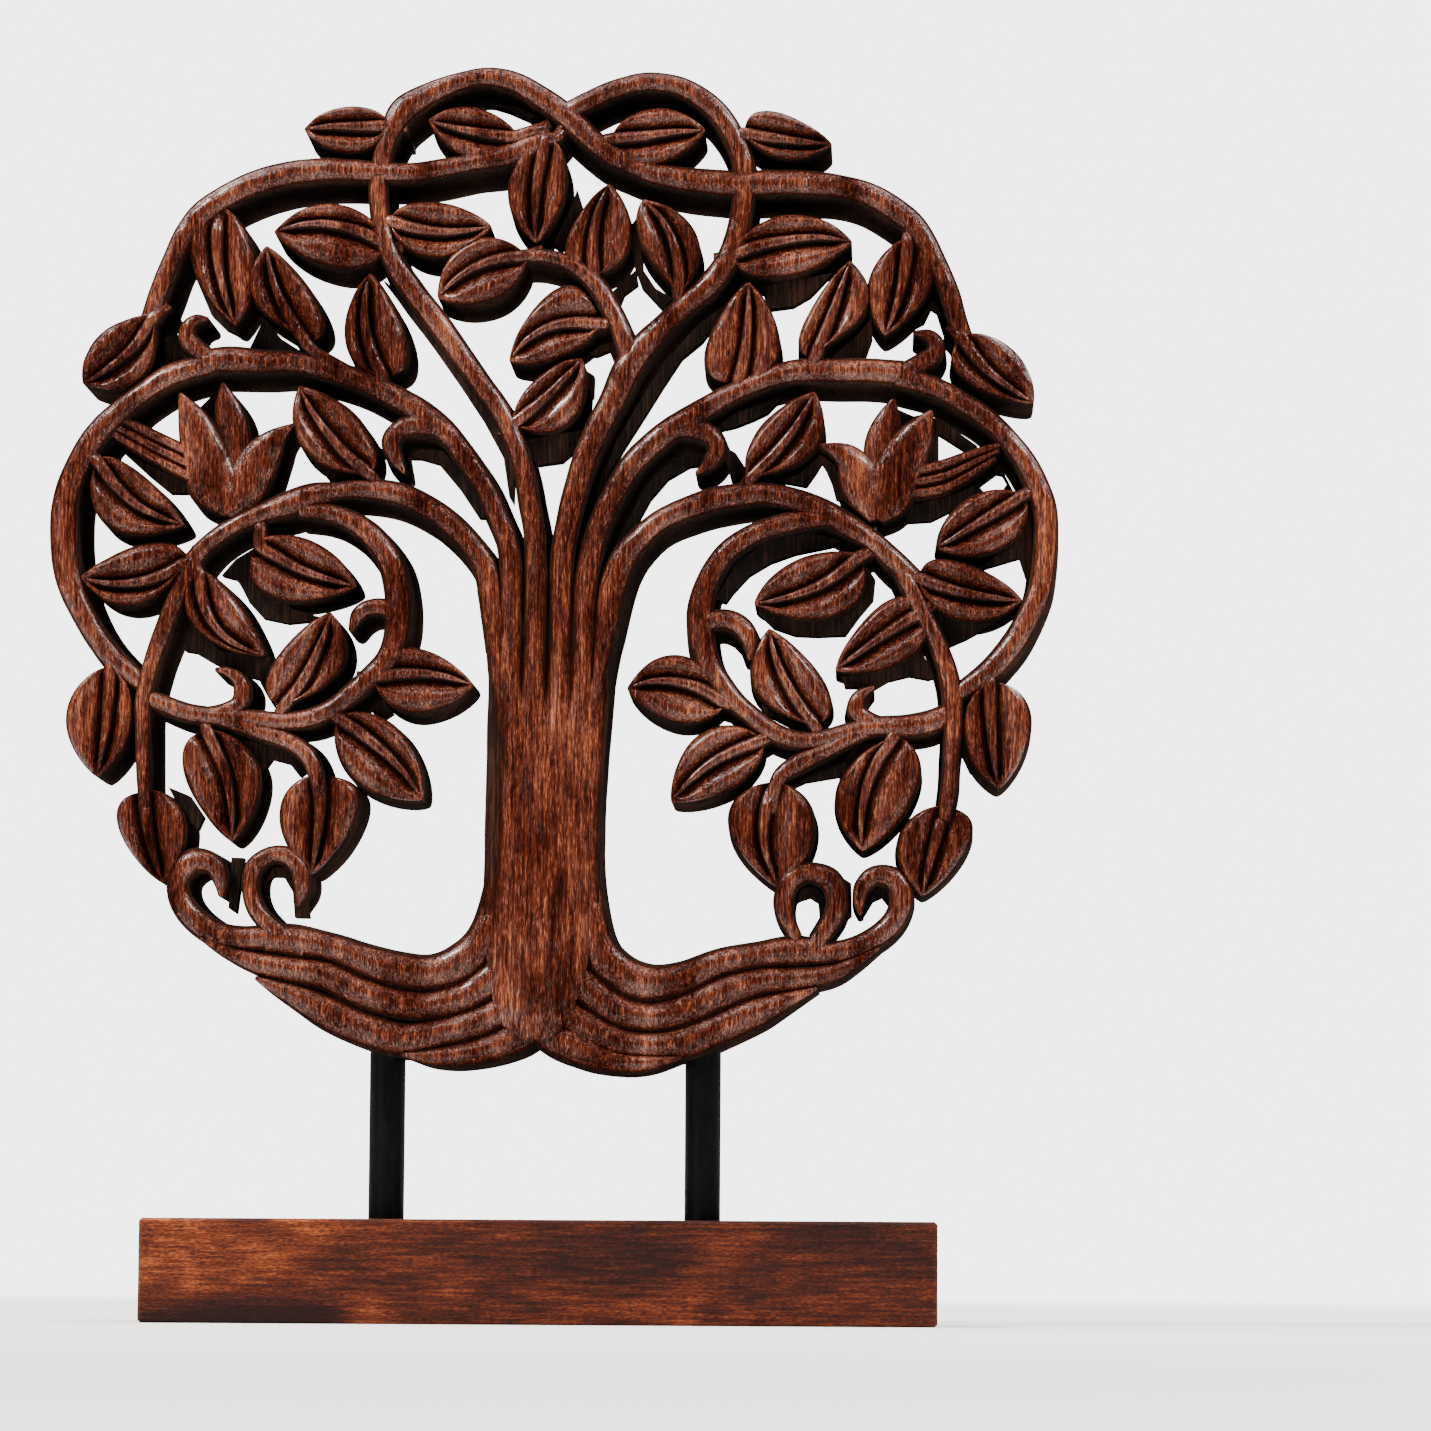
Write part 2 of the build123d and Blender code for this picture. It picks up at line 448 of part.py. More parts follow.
# Leaves: base, tip, the widest point on each side, and a point on the midrib.
leaf_groups = {
    "leaves_crown_left_outer": [
        ((-45.5, 337), (-69.7, 336.5), (-56, 343.3), (-57, 329.3), (-58, 337)),
        ((-45, 310), (-16.5, 308.5), (-33, 315.8), (-33, 299.2), (-33, 306.8)),
        ((-1, 334.5), (-3.5, 303.8), (-12, 320), (5, 321), (-3.5, 320)),
    ],
    "leaves_crown_left_inner": [
        ((-9, 334), (-34.5, 339), (-21, 342.8), (-20, 326.2), (-20, 335)),
        ((-46, 303), (-78, 307), (-60, 315), (-60, 296), (-60, 308.5)),
        ((-6, 300), (-31.3, 288), (-23, 304.5), (-15, 287.3), (-19, 297.5)),
    ],
    "leaves_crown_right": [
        ((17.5, 333.5), (43.8, 336.3), (29, 342.6), (28.5, 325.5), (29, 334.5)),
        ((55, 335), (79.7, 332), (62.5, 341.8), (67, 327.5), (66, 333.2)),
        ((51.5, 300), (85.5, 304), (67, 312), (66, 293.5), (66, 304.3)),
    ],
    "leaves_centre": [
        ((15, 280), (-11, 270), (4, 291.7), (3, 270.3), (3, 280.5)),
        ((-9.5, 252), (9.7, 270.5), (-4, 264.5), (7, 252.5), (-0.5, 259.5)),
        ((13, 295), (17, 320.5), (4.4, 303), (23.3, 304.5), (12.5, 306)),
        ((36.5, 288.5), (26.5, 316.2), (25.3, 304.5), (42, 305.5), (36, 301.5)),
        ((53.5, 263.5), (56.3, 292.5), (44, 272), (65.4, 273), (56, 277)),
    ],
    "leaves_left_upper": [
        ((-111.5, 283), (-131.5, 263.3), (-127.5, 277.5), (-115, 264.5), (-119.5, 271.5)),
        ((-93.5, 314), (-88.5, 280), (-102, 301), (-82.7, 299), (-93.5, 297)),
        ((-46.5, 265.5), (-50.5, 295), (-57.7, 276), (-40.5, 274), (-51.5, 278)),
    ],
    "leaves_left_middle": [
        ((-68, 275), (-80, 302.8), (-84.5, 288.5), (-65.3, 284.5), (-75, 285.5)),
        ((-50, 237.5), (-70.2, 262.7), (-69, 244.5), (-52, 252.5), (-61.5, 248.5)),
        ((-127, 241.5), (-102.3, 223.3), (-115, 238.3), (-124, 222.8), (-118, 230.5)),
        ((-81.5, 218), (-53.3, 206), (-66, 219), (-78, 202.5), (-70, 210.8)),
    ],
    "leaves_left_lower": [
        ((-101.5, 212.5), (-131, 208.3), (-112, 218.2), (-116, 200.3), (-115, 206.8)),
        ((-97.5, 210), (-78.8, 186.2), (-86.5, 202), (-99.5, 195), (-94.5, 196.5)),
        ((-48, 180), (-20, 178), (-38, 188.8), (-37, 169.8), (-37, 181.3)),
        ((-63, 152.5), (-65, 124.5), (-74.3, 142.5), (-51.4, 144.5), (-63, 139)),
        ((-122.5, 183), (-125.5, 151.8), (-134.8, 170), (-115.5, 168), (-123, 168)),
    ],
    "leaves_left_lowest": [
        ((-73.5, 171.5), (-60.5, 198.4), (-77.5, 183), (-56.8, 183), (-66.5, 181.5)),
        ((-58, 168.5), (-34, 146), (-41.5, 166), (-53.5, 150.8), (-46.5, 160.5)),
        ((-95, 165), (-87.5, 133.8), (-101.6, 154), (-79.8, 154), (-88.7, 150)),
        ((-112.5, 148), (-106.5, 122), (-119.8, 139), (-100.3, 140), (-111, 137)),
    ],
    "leaves_right_upper": [
        ((75, 270.5), (85, 298.5), (71.2, 279), (90.4, 285.5), (80, 283.5)),
        ((116.5, 277), (136.7, 258.2), (131, 273.6), (117, 264.8), (123.5, 267.5)),
        ((57, 236.5), (75.3, 261), (59.5, 251), (75.5, 244.5), (66.5, 246.5)),
    ],
    "leaves_right_middle": [
        ((101, 305), (95, 277.3), (90.2, 293), (109.7, 295), (99.5, 291.5)),
        ((134, 232), (109.3, 217), (117.5, 231), (129, 217), (122, 224.3)),
        ((88, 214.5), (58.5, 201.3), (70.5, 214), (83, 198), (74, 205)),
        ((106.5, 199.5), (81.3, 182.3), (94, 201.2), (102, 185.7), (94, 191.8)),
    ],
    "leaves_right_lower": [
        ((104.5, 208.5), (133.5, 202.2), (115, 213.8), (116, 196.2), (117, 204.2)),
        ((75.5, 167), (62.7, 194), (58.3, 180), (79, 178), (67.5, 179)),
        ((50.5, 173), (23, 177.3), (38, 186.8), (37, 167.2), (38.5, 178.6)),
        ((64.5, 151), (66, 121.3), (51.3, 140), (76.2, 139), (61.5, 136)),
        ((124.5, 179), (127, 149.3), (116.8, 165), (136.3, 169), (125, 164)),
    ],
    "leaves_right_lowest": [
        ((61, 162.5), (35.6, 145.3), (44, 165), (54, 149.7), (49, 157.5)),
        ((98, 164), (89, 131.8), (81.7, 149.5), (104.8, 149.5), (89.5, 147)),
        ((112, 144.5), (105.5, 119.2), (98.8, 135.5), (119.6, 135.5), (108.5, 131.5)),
    ],
}


# ---------------------------------------------------------------- carving one member
def carve(block, outline, taller, grooves=()):
    """One carved member: its bevelled board, without the members that were placed before it."""
    with BuildPart() as member:
        add(block)
        for other_outline, cutter in taller:
            if boxes_meet(outline, other_outline):
                add(cutter, mode=Mode.SUBTRACT)
        for groove in grooves:
            add(groove, mode=Mode.SUBTRACT)
    return max(member.part.solids(), key=lambda solid: solid.volume)


def strand(points, grow=0.0):
    """The outline and the bevelled board of a ribbon-like member."""
    wide = [(x, z, width + grow) for x, z, width in points]
    outline = ribbon(wide)
    block = faceted(outline, ribbon(wide, bevel_inset), front_y + bevel_depth, front_y)
    return outline, block


def leaf_stalk(base, tip):
    """A short stalk that runs back from a leaf's base into the branch that carries it."""
    length = hypot(tip[0] - base[0], tip[1] - base[1])
    along = ((tip[0] - base[0]) / length, (tip[1] - base[1]) / length)
    back = (base[0] - along[0] * stalk_length, base[1] - along[1] * stalk_length)
    inside = (base[0] + along[0] * stalk_length, base[1] + along[1] * stalk_length)
    return ribbon([(*back, stalk_width), (*base, stalk_width), (*inside, stalk_width)])


def leaf_block(base, tip, side_a, side_b, rib):
    """The outline, the bevelled board with its stalk, and the two groove cutters of a leaf."""
    outline = leaf_outline(base, tip, side_a, side_b)
    front = leaf_outline(base, tip, side_a, side_b, bevel_inset)
    stalk = leaf_stalk(base, tip)
    with BuildPart() as board:
        add(faceted(outline, front, front_y + bevel_depth, front_y))
        with BuildSketch(Plane.XZ.offset(-back_y)):
            Polygon(*stalk, align=None)
        extrude(amount=carving_depth - low_relief)
    grooves = []
    for side in (-1, 1):
        path = []
        for step in range(6):
            t = 0.1 + 0.74 * step / 5
            path.append(rib_point(base, tip, rib, t, side * (2.2 - 1.7 * t)))
        grooves.append(groove_cutter(path, 1.1, groove_depth, front_y))
    return outline + stalk, board.part, grooves


# ---------------------------------------------------------------- base, rods and fixings
rod_bottom = base_height - base_socket_depth
socket_radius = rod_diameter / 2 + socket_clearance
rod_places = [(-rod_offset, 0), (rod_offset, 0)]

with BuildPart() as base_block:
    with BuildSketch():
        Rectangle(base_length, base_depth)
    extrude(amount=base_height)
    chamfer(base_block.edges(), base_edge)
    with BuildSketch(Plane.XY.offset(rod_bottom)):
        with Locations(*rod_places):
            Circle(socket_radius)
    extrude(amount=base_socket_depth, mode=Mode.SUBTRACT)
    with BuildSketch(Plane.XY):
        with Locations(*rod_places):
            Circle(counterbore_diameter / 2)
    extrude(amount=counterbore_depth, mode=Mode.SUBTRACT)
    with BuildSketch(Plane.XY.offset(counterbore_depth)):
        with Locations(*rod_places):
            Circle(screw_diameter / 2 + 3 * socket_clearance)
    extrude(amount=rod_bottom - counterbore_depth, mode=Mode.SUBTRACT)


def rod_at(x):
    """A steel rod with a small chamfer at each end and a threaded hole in its lower end."""
    with BuildPart() as rod:
        with BuildSketch(Plane.XY.offset(rod_bottom)):
            with Locations((x, 0)):
                Circle(rod_diameter / 2)
        extrude(amount=rod_top - rod_bottom)
        chamfer(rod.edges(), 0.5)
        with BuildSketch(Plane.XY.offset(rod_bottom)):
            with Locations((x, 0)):
                Circle(screw_diameter / 2 + socket_clearance)
        extrude(amount=screw_grip + 2, mode=Mode.SUBTRACT)
    return rod.part


rod_left = rod_at(-rod_offset)
rod_right = rod_at(rod_offset)
washer_bottom = counterbore_depth - washer_thickness
head_bottom = washer_bottom - screw_head_height

with BuildPart() as rod_washers:
    with BuildSketch(Plane.XY.offset(washer_bottom)):
        with Locations(*rod_places):
            Circle(washer_diameter / 2)
            Circle(screw_diameter / 2 + 2 * socket_clearance, mode=Mode.SUBTRACT)
    extrude(amount=washer_thickness)

with BuildPart() as rod_screws:
    with BuildSketch(Plane.XY.offset(head_bottom)):
        with Locations(*rod_places):
            Circle(screw_head_diameter / 2)
    extrude(amount=screw_head_height)
    chamfer(rod_screws.edges().group_by(Axis.Z)[0], 0.8)
    with BuildSketch(Plane.XY.offset(washer_bottom)):
        with Locations(*rod_places):
            Circle(screw_diameter / 2)
    extrude(amount=rod_bottom + screw_grip - washer_bottom)
    with BuildSketch(Plane.XY.offset(head_bottom)):
        with Locations(*rod_places):
            Rectangle(6.0, 1.0)
            Rectangle(1.0, 6.0)
    extrude(amount=1.6, mode=Mode.SUBTRACT)

# ---------------------------------------------------------------- the carving, member by member
pieces = {
    "base_block": base_block.part,
    "rod_left": rod_left,
    "rod_right": rod_right,
    "rod_washers": rod_washers.part,
    "rod_screws": rod_screws.part,
}
taller = []


def place(name, outline, solids):
    """Keeps a finished member, and its full outline to cut the members that come after it."""
    pieces[name] = solids[0] if len(solids) == 1 else Compound(children=solids)
    for one_outline in outline:
        taller.append((one_outline, prism(one_outline)))


for name, points in limbs.items():
    outline, block = strand(points)
    place(name, [outline], [carve(block, outline, taller)])

# The trunk is flat in front, bevelled along its two sides, and cut back at the webs between the limbs.
trunk_front = []
for x, z in trunk_outline:
    share = trunk_front_share if z < fork_level else 1.0
    trunk_front.append((x * share, max(z, cusp_level)))
trunk_block = faceted(trunk_outline, trunk_front, front_y + bevel_depth, front_y)
with BuildPart() as web_cut:
    with BuildSketch(Plane.XY.offset(fork_level)):
        with Locations((0, front_y)):
            Rectangle(80, 2 * (web_front - front_y))
    extrude(amount=60)
place("trunk", [trunk_outline], [carve(trunk_block, trunk_outline, taller, [web_cut.part])])

for name, points in list(roots.items()) + list(curls.items()):
    outline, block = strand(points, strand_overlap)
    with BuildPart() as rod_sockets:
        with BuildSketch(Plane.XY.offset(base_height)):
            with Locations(*rod_places):
                Circle(socket_radius)
        extrude(amount=rod_top - base_height)
    place(name, [outline], [carve(block, outline, taller, [rod_sockets.part])])

for name, group in (("low_twigs", low_twigs), ("buds_left", buds_left), ("buds_right", buds_right)):
    outlines = []
    solids = []
    for points in group.values():
        outline, block = strand(points)
        outlines.append(outline)
        solids.append(carve(block, outline, taller))
    place(name, outlines, solids)

for name, outline, front, feather_grooves in (
    ("bird_left", bird_left_body, front_y, []),
    ("bird_left_tail", bird_left_tail, front_y + 0.5 * low_relief, bird_left_tail_grooves),
    ("bird_left_rear_wing", bird_left_rear_wing, front_y + low_relief, []),
    ("bird_right", bird_right_body, front_y, []),
    ("bird_right_tail", bird_right_tail, front_y + 0.5 * low_relief, bird_right_tail_grooves),
    ("bird_right_rear_wing", bird_right_rear_wing, front_y + low_relief, []),
):
    block = faceted(outline, inset_polygon(outline, 0.5 * bevel_inset), front + 0.6 * bevel_depth, front)
    grooves = [groove_cutter(path, 0.9, 0.6 * groove_depth, front) for path in feather_grooves]
    place(name, [outline], [carve(block, outline, taller, grooves)])

for name, group in leaf_groups.items():
    outlines = []
    solids = []
    for leaf in group:
        reach, block, grooves = leaf_block(*leaf)
        solids.append(carve(block, reach, taller, grooves))
        outlines.append(leaf_outline(*leaf[:4]))
    place(name, outlines, solids)

# ---------------------------------------------------------------- export
os.makedirs("parts", exist_ok=True)
for name, piece in pieces.items():
    piece.label = name
    export_step(piece, f"parts/{name}.step")
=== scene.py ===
import bmesh
import bpy
from itertools import count
from math import cos, hypot, pi, radians, sin
from mathutils import Matrix, Vector, noise


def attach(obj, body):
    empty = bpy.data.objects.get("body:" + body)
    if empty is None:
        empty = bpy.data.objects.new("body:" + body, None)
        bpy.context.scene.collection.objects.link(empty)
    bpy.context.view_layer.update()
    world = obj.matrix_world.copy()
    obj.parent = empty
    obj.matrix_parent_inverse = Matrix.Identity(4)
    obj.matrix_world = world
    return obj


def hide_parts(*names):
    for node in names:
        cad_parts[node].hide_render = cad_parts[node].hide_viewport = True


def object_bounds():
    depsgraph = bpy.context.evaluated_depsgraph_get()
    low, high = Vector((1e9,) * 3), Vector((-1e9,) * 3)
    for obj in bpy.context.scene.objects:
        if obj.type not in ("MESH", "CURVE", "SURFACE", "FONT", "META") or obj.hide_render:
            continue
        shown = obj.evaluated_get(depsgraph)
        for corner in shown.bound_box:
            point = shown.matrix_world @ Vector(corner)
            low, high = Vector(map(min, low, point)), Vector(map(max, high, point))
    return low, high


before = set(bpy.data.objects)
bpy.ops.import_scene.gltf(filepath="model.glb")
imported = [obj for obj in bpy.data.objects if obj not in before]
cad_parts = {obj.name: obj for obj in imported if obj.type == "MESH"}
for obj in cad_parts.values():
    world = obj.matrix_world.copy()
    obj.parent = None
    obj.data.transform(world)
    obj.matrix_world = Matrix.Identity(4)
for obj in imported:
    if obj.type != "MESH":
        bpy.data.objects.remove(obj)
cad_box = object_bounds()

# Tree of life sculpture. Outlines are in millimetres, in the CAD frame: +Z up, the carved side faces -Y.
MM = 0.001
FRONT = -15.0
BACK = 15.0

# The bevel at each member's back and the flat back's share of its width. Members' backs are set in by up to
# BACK_SPREAD, in steps that don't repeat.
BACK_BEVEL = 0.7
BACK_SHARE = 0.88
BACK_SPREAD = 0.3
GOLDEN_STEP = 0.618

# Edges sharper than this many degrees stay crisp.
SHARP_ANGLE = 42

# --- carved members: (x, z, width)
LIMBS = {
    "limb_left_low": [
        (-13.7, 188, 6.6), (-14.6, 196, 7.4), (-16.8, 210, 7.4), (-21.5, 218, 7), (-28, 224.5, 7),
        (-35, 229, 7.2), (-43, 232.3, 7), (-52, 233.3, 6), (-60, 232.7, 5), (-69, 231.3, 6),
    ],
    "limb_left_mid": [
        (-9.6, 188, 6.3), (-9.9, 196, 6.6), (-9.8, 210, 6.8), (-11.5, 220, 6.6), (-15.5, 230, 6.6),
        (-20.5, 239, 6.8), (-26.5, 247, 6.8), (-33, 253.3, 7.5), (-40, 258, 7.5), (-50, 263, 6.8),
        (-60, 266.7, 6.5), (-70, 269.3, 6.5), (-80, 269.6, 7.4), (-90, 270.3, 8.4), (-98, 269.6, 7.4),
    ],
    "limb_left_high": [
        (-3, 188, 6.5), (-3, 196, 6.8), (-2.8, 210, 6.9), (-3.3, 220, 6.5), (-5, 230, 6.2), (-7, 240, 6),
        (-9.5, 248, 6), (-13.5, 256, 6.3), (-18.7, 263.5, 6.5), (-24.5, 271.5, 6.8), (-31, 280.5, 7),
        (-38, 289.5, 7), (-44, 298.5, 6.5), (-47.2, 307, 6), (-48.5, 315, 5.5), (-48.5, 323, 5.5),
    ],
    "limb_right_high": [
        (4.2, 188, 6.6), (4.3, 196, 7), (4.3, 210, 7.2), (5.3, 220, 7.1), (7.3, 230, 7.3), (10, 240, 7.6),
        (14, 250, 8), (18.5, 259, 8.3), (22.5, 268, 9), (28, 275.5, 8), (34, 281.5, 7), (40, 286.8, 7),
        (46, 292.5, 7.5), (50.5, 299, 7), (53, 306, 6.5), (54.5, 313, 6.5), (55.5, 321, 7),
    ],
    "limb_right_mid": [
        (10.7, 188, 6.4), (10.9, 196, 6.8), (11.3, 208, 7.2), (13.3, 218, 7), (16.5, 227, 7),
        (20.5, 235, 7.2), (25.5, 242.3, 7.5), (32, 248.3, 7.8), (39.5, 253.3, 7.5), (47, 258, 6.8),
        (54.5, 262, 6), (62, 265, 6.5), (70, 267, 7.4), (80, 267.2, 7.8), (90, 267.2, 7.8),
        (100, 266.5, 7.8),
    ],
    "limb_right_low": [
        (16, 188, 5.6), (17.2, 196, 7.4), (18.7, 206, 8.8), (21.5, 213.3, 8.4), (26, 219.2, 7.4),
        (32.5, 224.7, 6.6), (40.5, 228.4, 7), (50, 231.3, 7.5), (60, 232.3, 7), (69, 230.6, 6),
    ],
}
BRANCHES = {
    "ring_left_upper": [
        (-113.5, 281, 5), (-112, 285, 5.5), (-109.5, 292, 6), (-106.8, 299, 5.8), (-103.3, 305.9, 6.8),
        (-98.3, 312.2, 7.8), (-91.3, 317.3, 7.8), (-83.2, 321, 7.8), (-75, 323.4, 7.8), (-66, 324.4, 7.6),
        (-57, 324.5, 7.2), (-48.5, 324, 6.5), (-40, 323.8, 6), (-31, 325, 6), (-22, 326.8, 5.5),
        (-13, 328.6, 7), (-6, 331.5, 7.5), (0, 335.5, 6),
    ],
    "ring_right_upper": [
        (26, 324.8, 6.5), (33, 322.8, 7), (42, 321.5, 8), (52, 320.8, 8.3), (62, 320.8, 8.3),
        (72, 320.7, 8), (80, 320.2, 7.5), (88, 318.2, 7.3), (95, 315, 7.5), (101, 310.5, 7.5),
        (106, 304.3, 7), (110, 297, 6), (113, 289.5, 5.8), (115, 282.5, 5.6), (117.3, 276, 5.4),
    ],
    "crown_arch_left": [
        (-48.5, 321, 5.5), (-47.3, 329.5, 5.5), (-45.2, 335.8, 6.2), (-41.6, 342, 8.6), (-34, 346.6, 7.2),
        (-25.5, 350, 6), (-18, 351.3, 6), (-10, 349.8, 6.5), (-3, 345.8, 7), (4, 340.5, 7.5), (11, 334, 7),
        (18, 328.5, 6.5), (27, 324.6, 6.5),
    ],
    "crown_arch_right": [
        (55.5, 319, 7), (54.5, 328, 6.5), (52, 334.5, 6.5), (48, 340.5, 6.5), (42.5, 345.4, 6.5),
        (35.5, 348.9, 6.2), (27, 349.8, 6), (18, 347.7, 6), (10, 344, 6), (3, 340.5, 6),
    ],
    "branch_right_fork": [
        (24, 268, 7), (20.5, 279, 6), (17.3, 285, 6), (13.5, 291.5, 6), (9.5, 295.3, 5), (4.5, 298.3, 4.5),
        (-2, 300, 4.2), (-7, 300, 3.8),
    ],
    "ring_left_lower": [
        (-94, 269.4, 6.8), (-106, 266, 7), (-114, 261, 6.5), (-121, 255.5, 7.3), (-127.5, 248.5, 7.6),
        (-132.3, 240.5, 7.6), (-135.5, 231.5, 8), (-136.3, 222, 8.3), (-135.6, 213, 8.3), (-133, 204, 7.8),
        (-129.5, 196.5, 7), (-125.5, 190, 6.8), (-120.5, 184, 7), (-113, 178, 5),
    ],
    "ring_right_lower": [
        (96, 266.6, 7.4), (110, 262.2, 6.5), (118, 257.3, 6.5), (125, 252.3, 6.5), (131, 246, 6.5),
        (136, 238.5, 6.8), (139.3, 230, 7), (140.3, 221, 7), (139.6, 212, 7), (137.8, 203.5, 7),
        (134.3, 195.5, 7.3), (129, 187.5, 7.3), (123.5, 181.5, 7), (115, 175.8, 5),
    ],
    "branch_left_sweep": [
        (-58, 233, 5), (-66, 231.5, 8), (-73, 229, 8), (-80, 226.5, 6), (-88, 222.8, 5.5), (-95, 218, 5.5),
        (-101, 211.5, 6.2),
    ],
    "branch_right_sweep": [
        (60, 232.3, 6.6), (66, 231.5, 6.6), (73, 229.3, 7.5), (80, 226, 8), (87, 221.8, 7),
        (93, 217.5, 6.3), (99, 212, 6.5), (104.5, 207.8, 5),
    ],
    "branch_left_inner": [
        (-44.5, 185, 6), (-42.3, 190.5, 7.4), (-41.5, 197, 8), (-41.7, 205, 8), (-44, 213, 7.5),
        (-49, 220, 7), (-55.5, 224.5, 6.3), (-62, 226.7, 5.6), (-70, 227.5, 5),
    ],
    "branch_right_inner": [
        (46.5, 183, 6), (43.9, 189.5, 7.4), (43.3, 197, 7.8), (44.3, 204, 7), (47, 210.5, 6.8),
        (51.5, 216.3, 6.5), (57.5, 220.5, 6.3), (65, 223.3, 6.3), (73, 224.8, 6), (80, 224.8, 4.6),
        (87, 221.8, 3),
    ],
    "stem_left_low": [
        (-97.5, 216.5, 5.4), (-103, 205, 5.8), (-107, 194.5, 5.5), (-110.6, 184.5, 5.2), (-112.8, 174, 4.8),
        (-112.9, 163, 4.2), (-112.5, 152, 4), (-112, 142, 3.6),
    ],
    "stem_right_low": [
        (98.5, 213.5, 5.6), (103.3, 203.5, 5.5), (106.3, 197.5, 5.2), (110, 190, 5.3), (112.8, 182, 5.6),
        (114, 174, 6), (114.3, 166, 5.3), (113.5, 157, 4.8), (113, 149.5, 4.8), (111.6, 140, 4),
    ],
    "twig_left_inner": [
        (-41.6, 203, 7), (-41.5, 197, 7.8), (-42.3, 190.5, 7.6), (-44.3, 185.5, 7), (-48, 181.3, 6.5),
        (-53, 176.5, 6.5), (-59, 171.8, 6), (-66, 168.6, 5.8), (-74, 167.6, 5.5), (-83, 168.3, 5.3),
        (-92, 168.8, 5.5), (-100, 169.8, 5.5), (-107, 172.3, 5.5), (-113, 175, 5),
    ],
    "twig_right_inner": [
        (43.4, 200, 7), (43.4, 194, 7.7), (44.8, 187, 7.3), (47.6, 181.2, 6.5), (52.5, 174.5, 6),
        (57.5, 169.8, 5.8), (63.5, 165.2, 5.8), (70, 162.8, 5.8), (77, 163, 5.5), (85, 165, 5.5),
        (93, 166.6, 6), (101, 166.6, 7), (108, 168, 7.2), (114, 171, 6),
    ],
}
LOW_TWIGS = {
    "low_twig_left": [
        (-95, 168.8, 4.5), (-90, 168, 5), (-81, 165, 5), (-73, 162.5, 5.3), (-67, 158.3, 5.3),
        (-64, 153, 4.8), (-63.2, 148, 4), (-63.3, 143, 3.2),
    ],
    "low_twig_right": [
        (92, 166, 4.6), (87, 164, 5), (79, 160, 5.5), (72, 156.6, 5.8), (66.6, 153, 4.8), (64.4, 148, 4),
        (63.6, 142, 3.2),
    ],
}
BUDS_LEFT = {
    "bud_left_inner": [
        (-41.5, 196, 6), (-45, 199.5, 5.6), (-49.5, 199.8, 5), (-52.8, 197.6, 4.4), (-54.5, 193.8, 2.2),
    ],
    "bud_left_middle": [
        (-31, 250.5, 6), (-36, 251.8, 7), (-41, 250.7, 6.3), (-44, 247, 5.8), (-42.9, 242.3, 4.6),
        (-40.4, 238.4, 1.6),
    ],
    "bud_left_upper": [
        (-93, 268, 6), (-98, 272.3, 6), (-101.8, 276.2, 5.6), (-101.6, 279.8, 4.6), (-99.3, 281.7, 3.4),
        (-96.7, 281.8, 1.6),
    ],
    "bud_left_lower": [
        (-97, 169, 5), (-91, 169.9, 5.3), (-86, 172.3, 5.4), (-84.8, 176.2, 5.2), (-86.2, 179.6, 4.2),
        (-89, 181.5, 3), (-92, 182, 1.6),
    ],
}
BUDS_RIGHT = {
    "bud_right_inner": [
        (43, 195, 6), (49, 196.7, 6.2), (54, 195.2, 6.3), (57, 191.4, 5.4), (57.5, 186.4, 2.4),
    ],
    "bud_right_middle": [
        (35, 250.5, 6), (41, 250.8, 7), (46.2, 248.4, 6.2), (47.8, 245, 5.8), (46, 241.2, 4.6),
        (42.6, 238.2, 1.8),
    ],
    "bud_right_upper": [
        (98, 265.5, 6), (104, 268.7, 6), (108.4, 271.6, 5.5), (109.2, 274.6, 5), (107, 277.1, 3.9),
        (103.5, 277.9, 1.6),
    ],
    "bud_right_lower": [
        (96.5, 166.5, 5), (91.5, 167.6, 5.8), (88, 170, 5.8), (87.2, 172.6, 5.1), (88.5, 175.3, 3.8),
        (91.4, 177.2, 1.6),
    ],
}
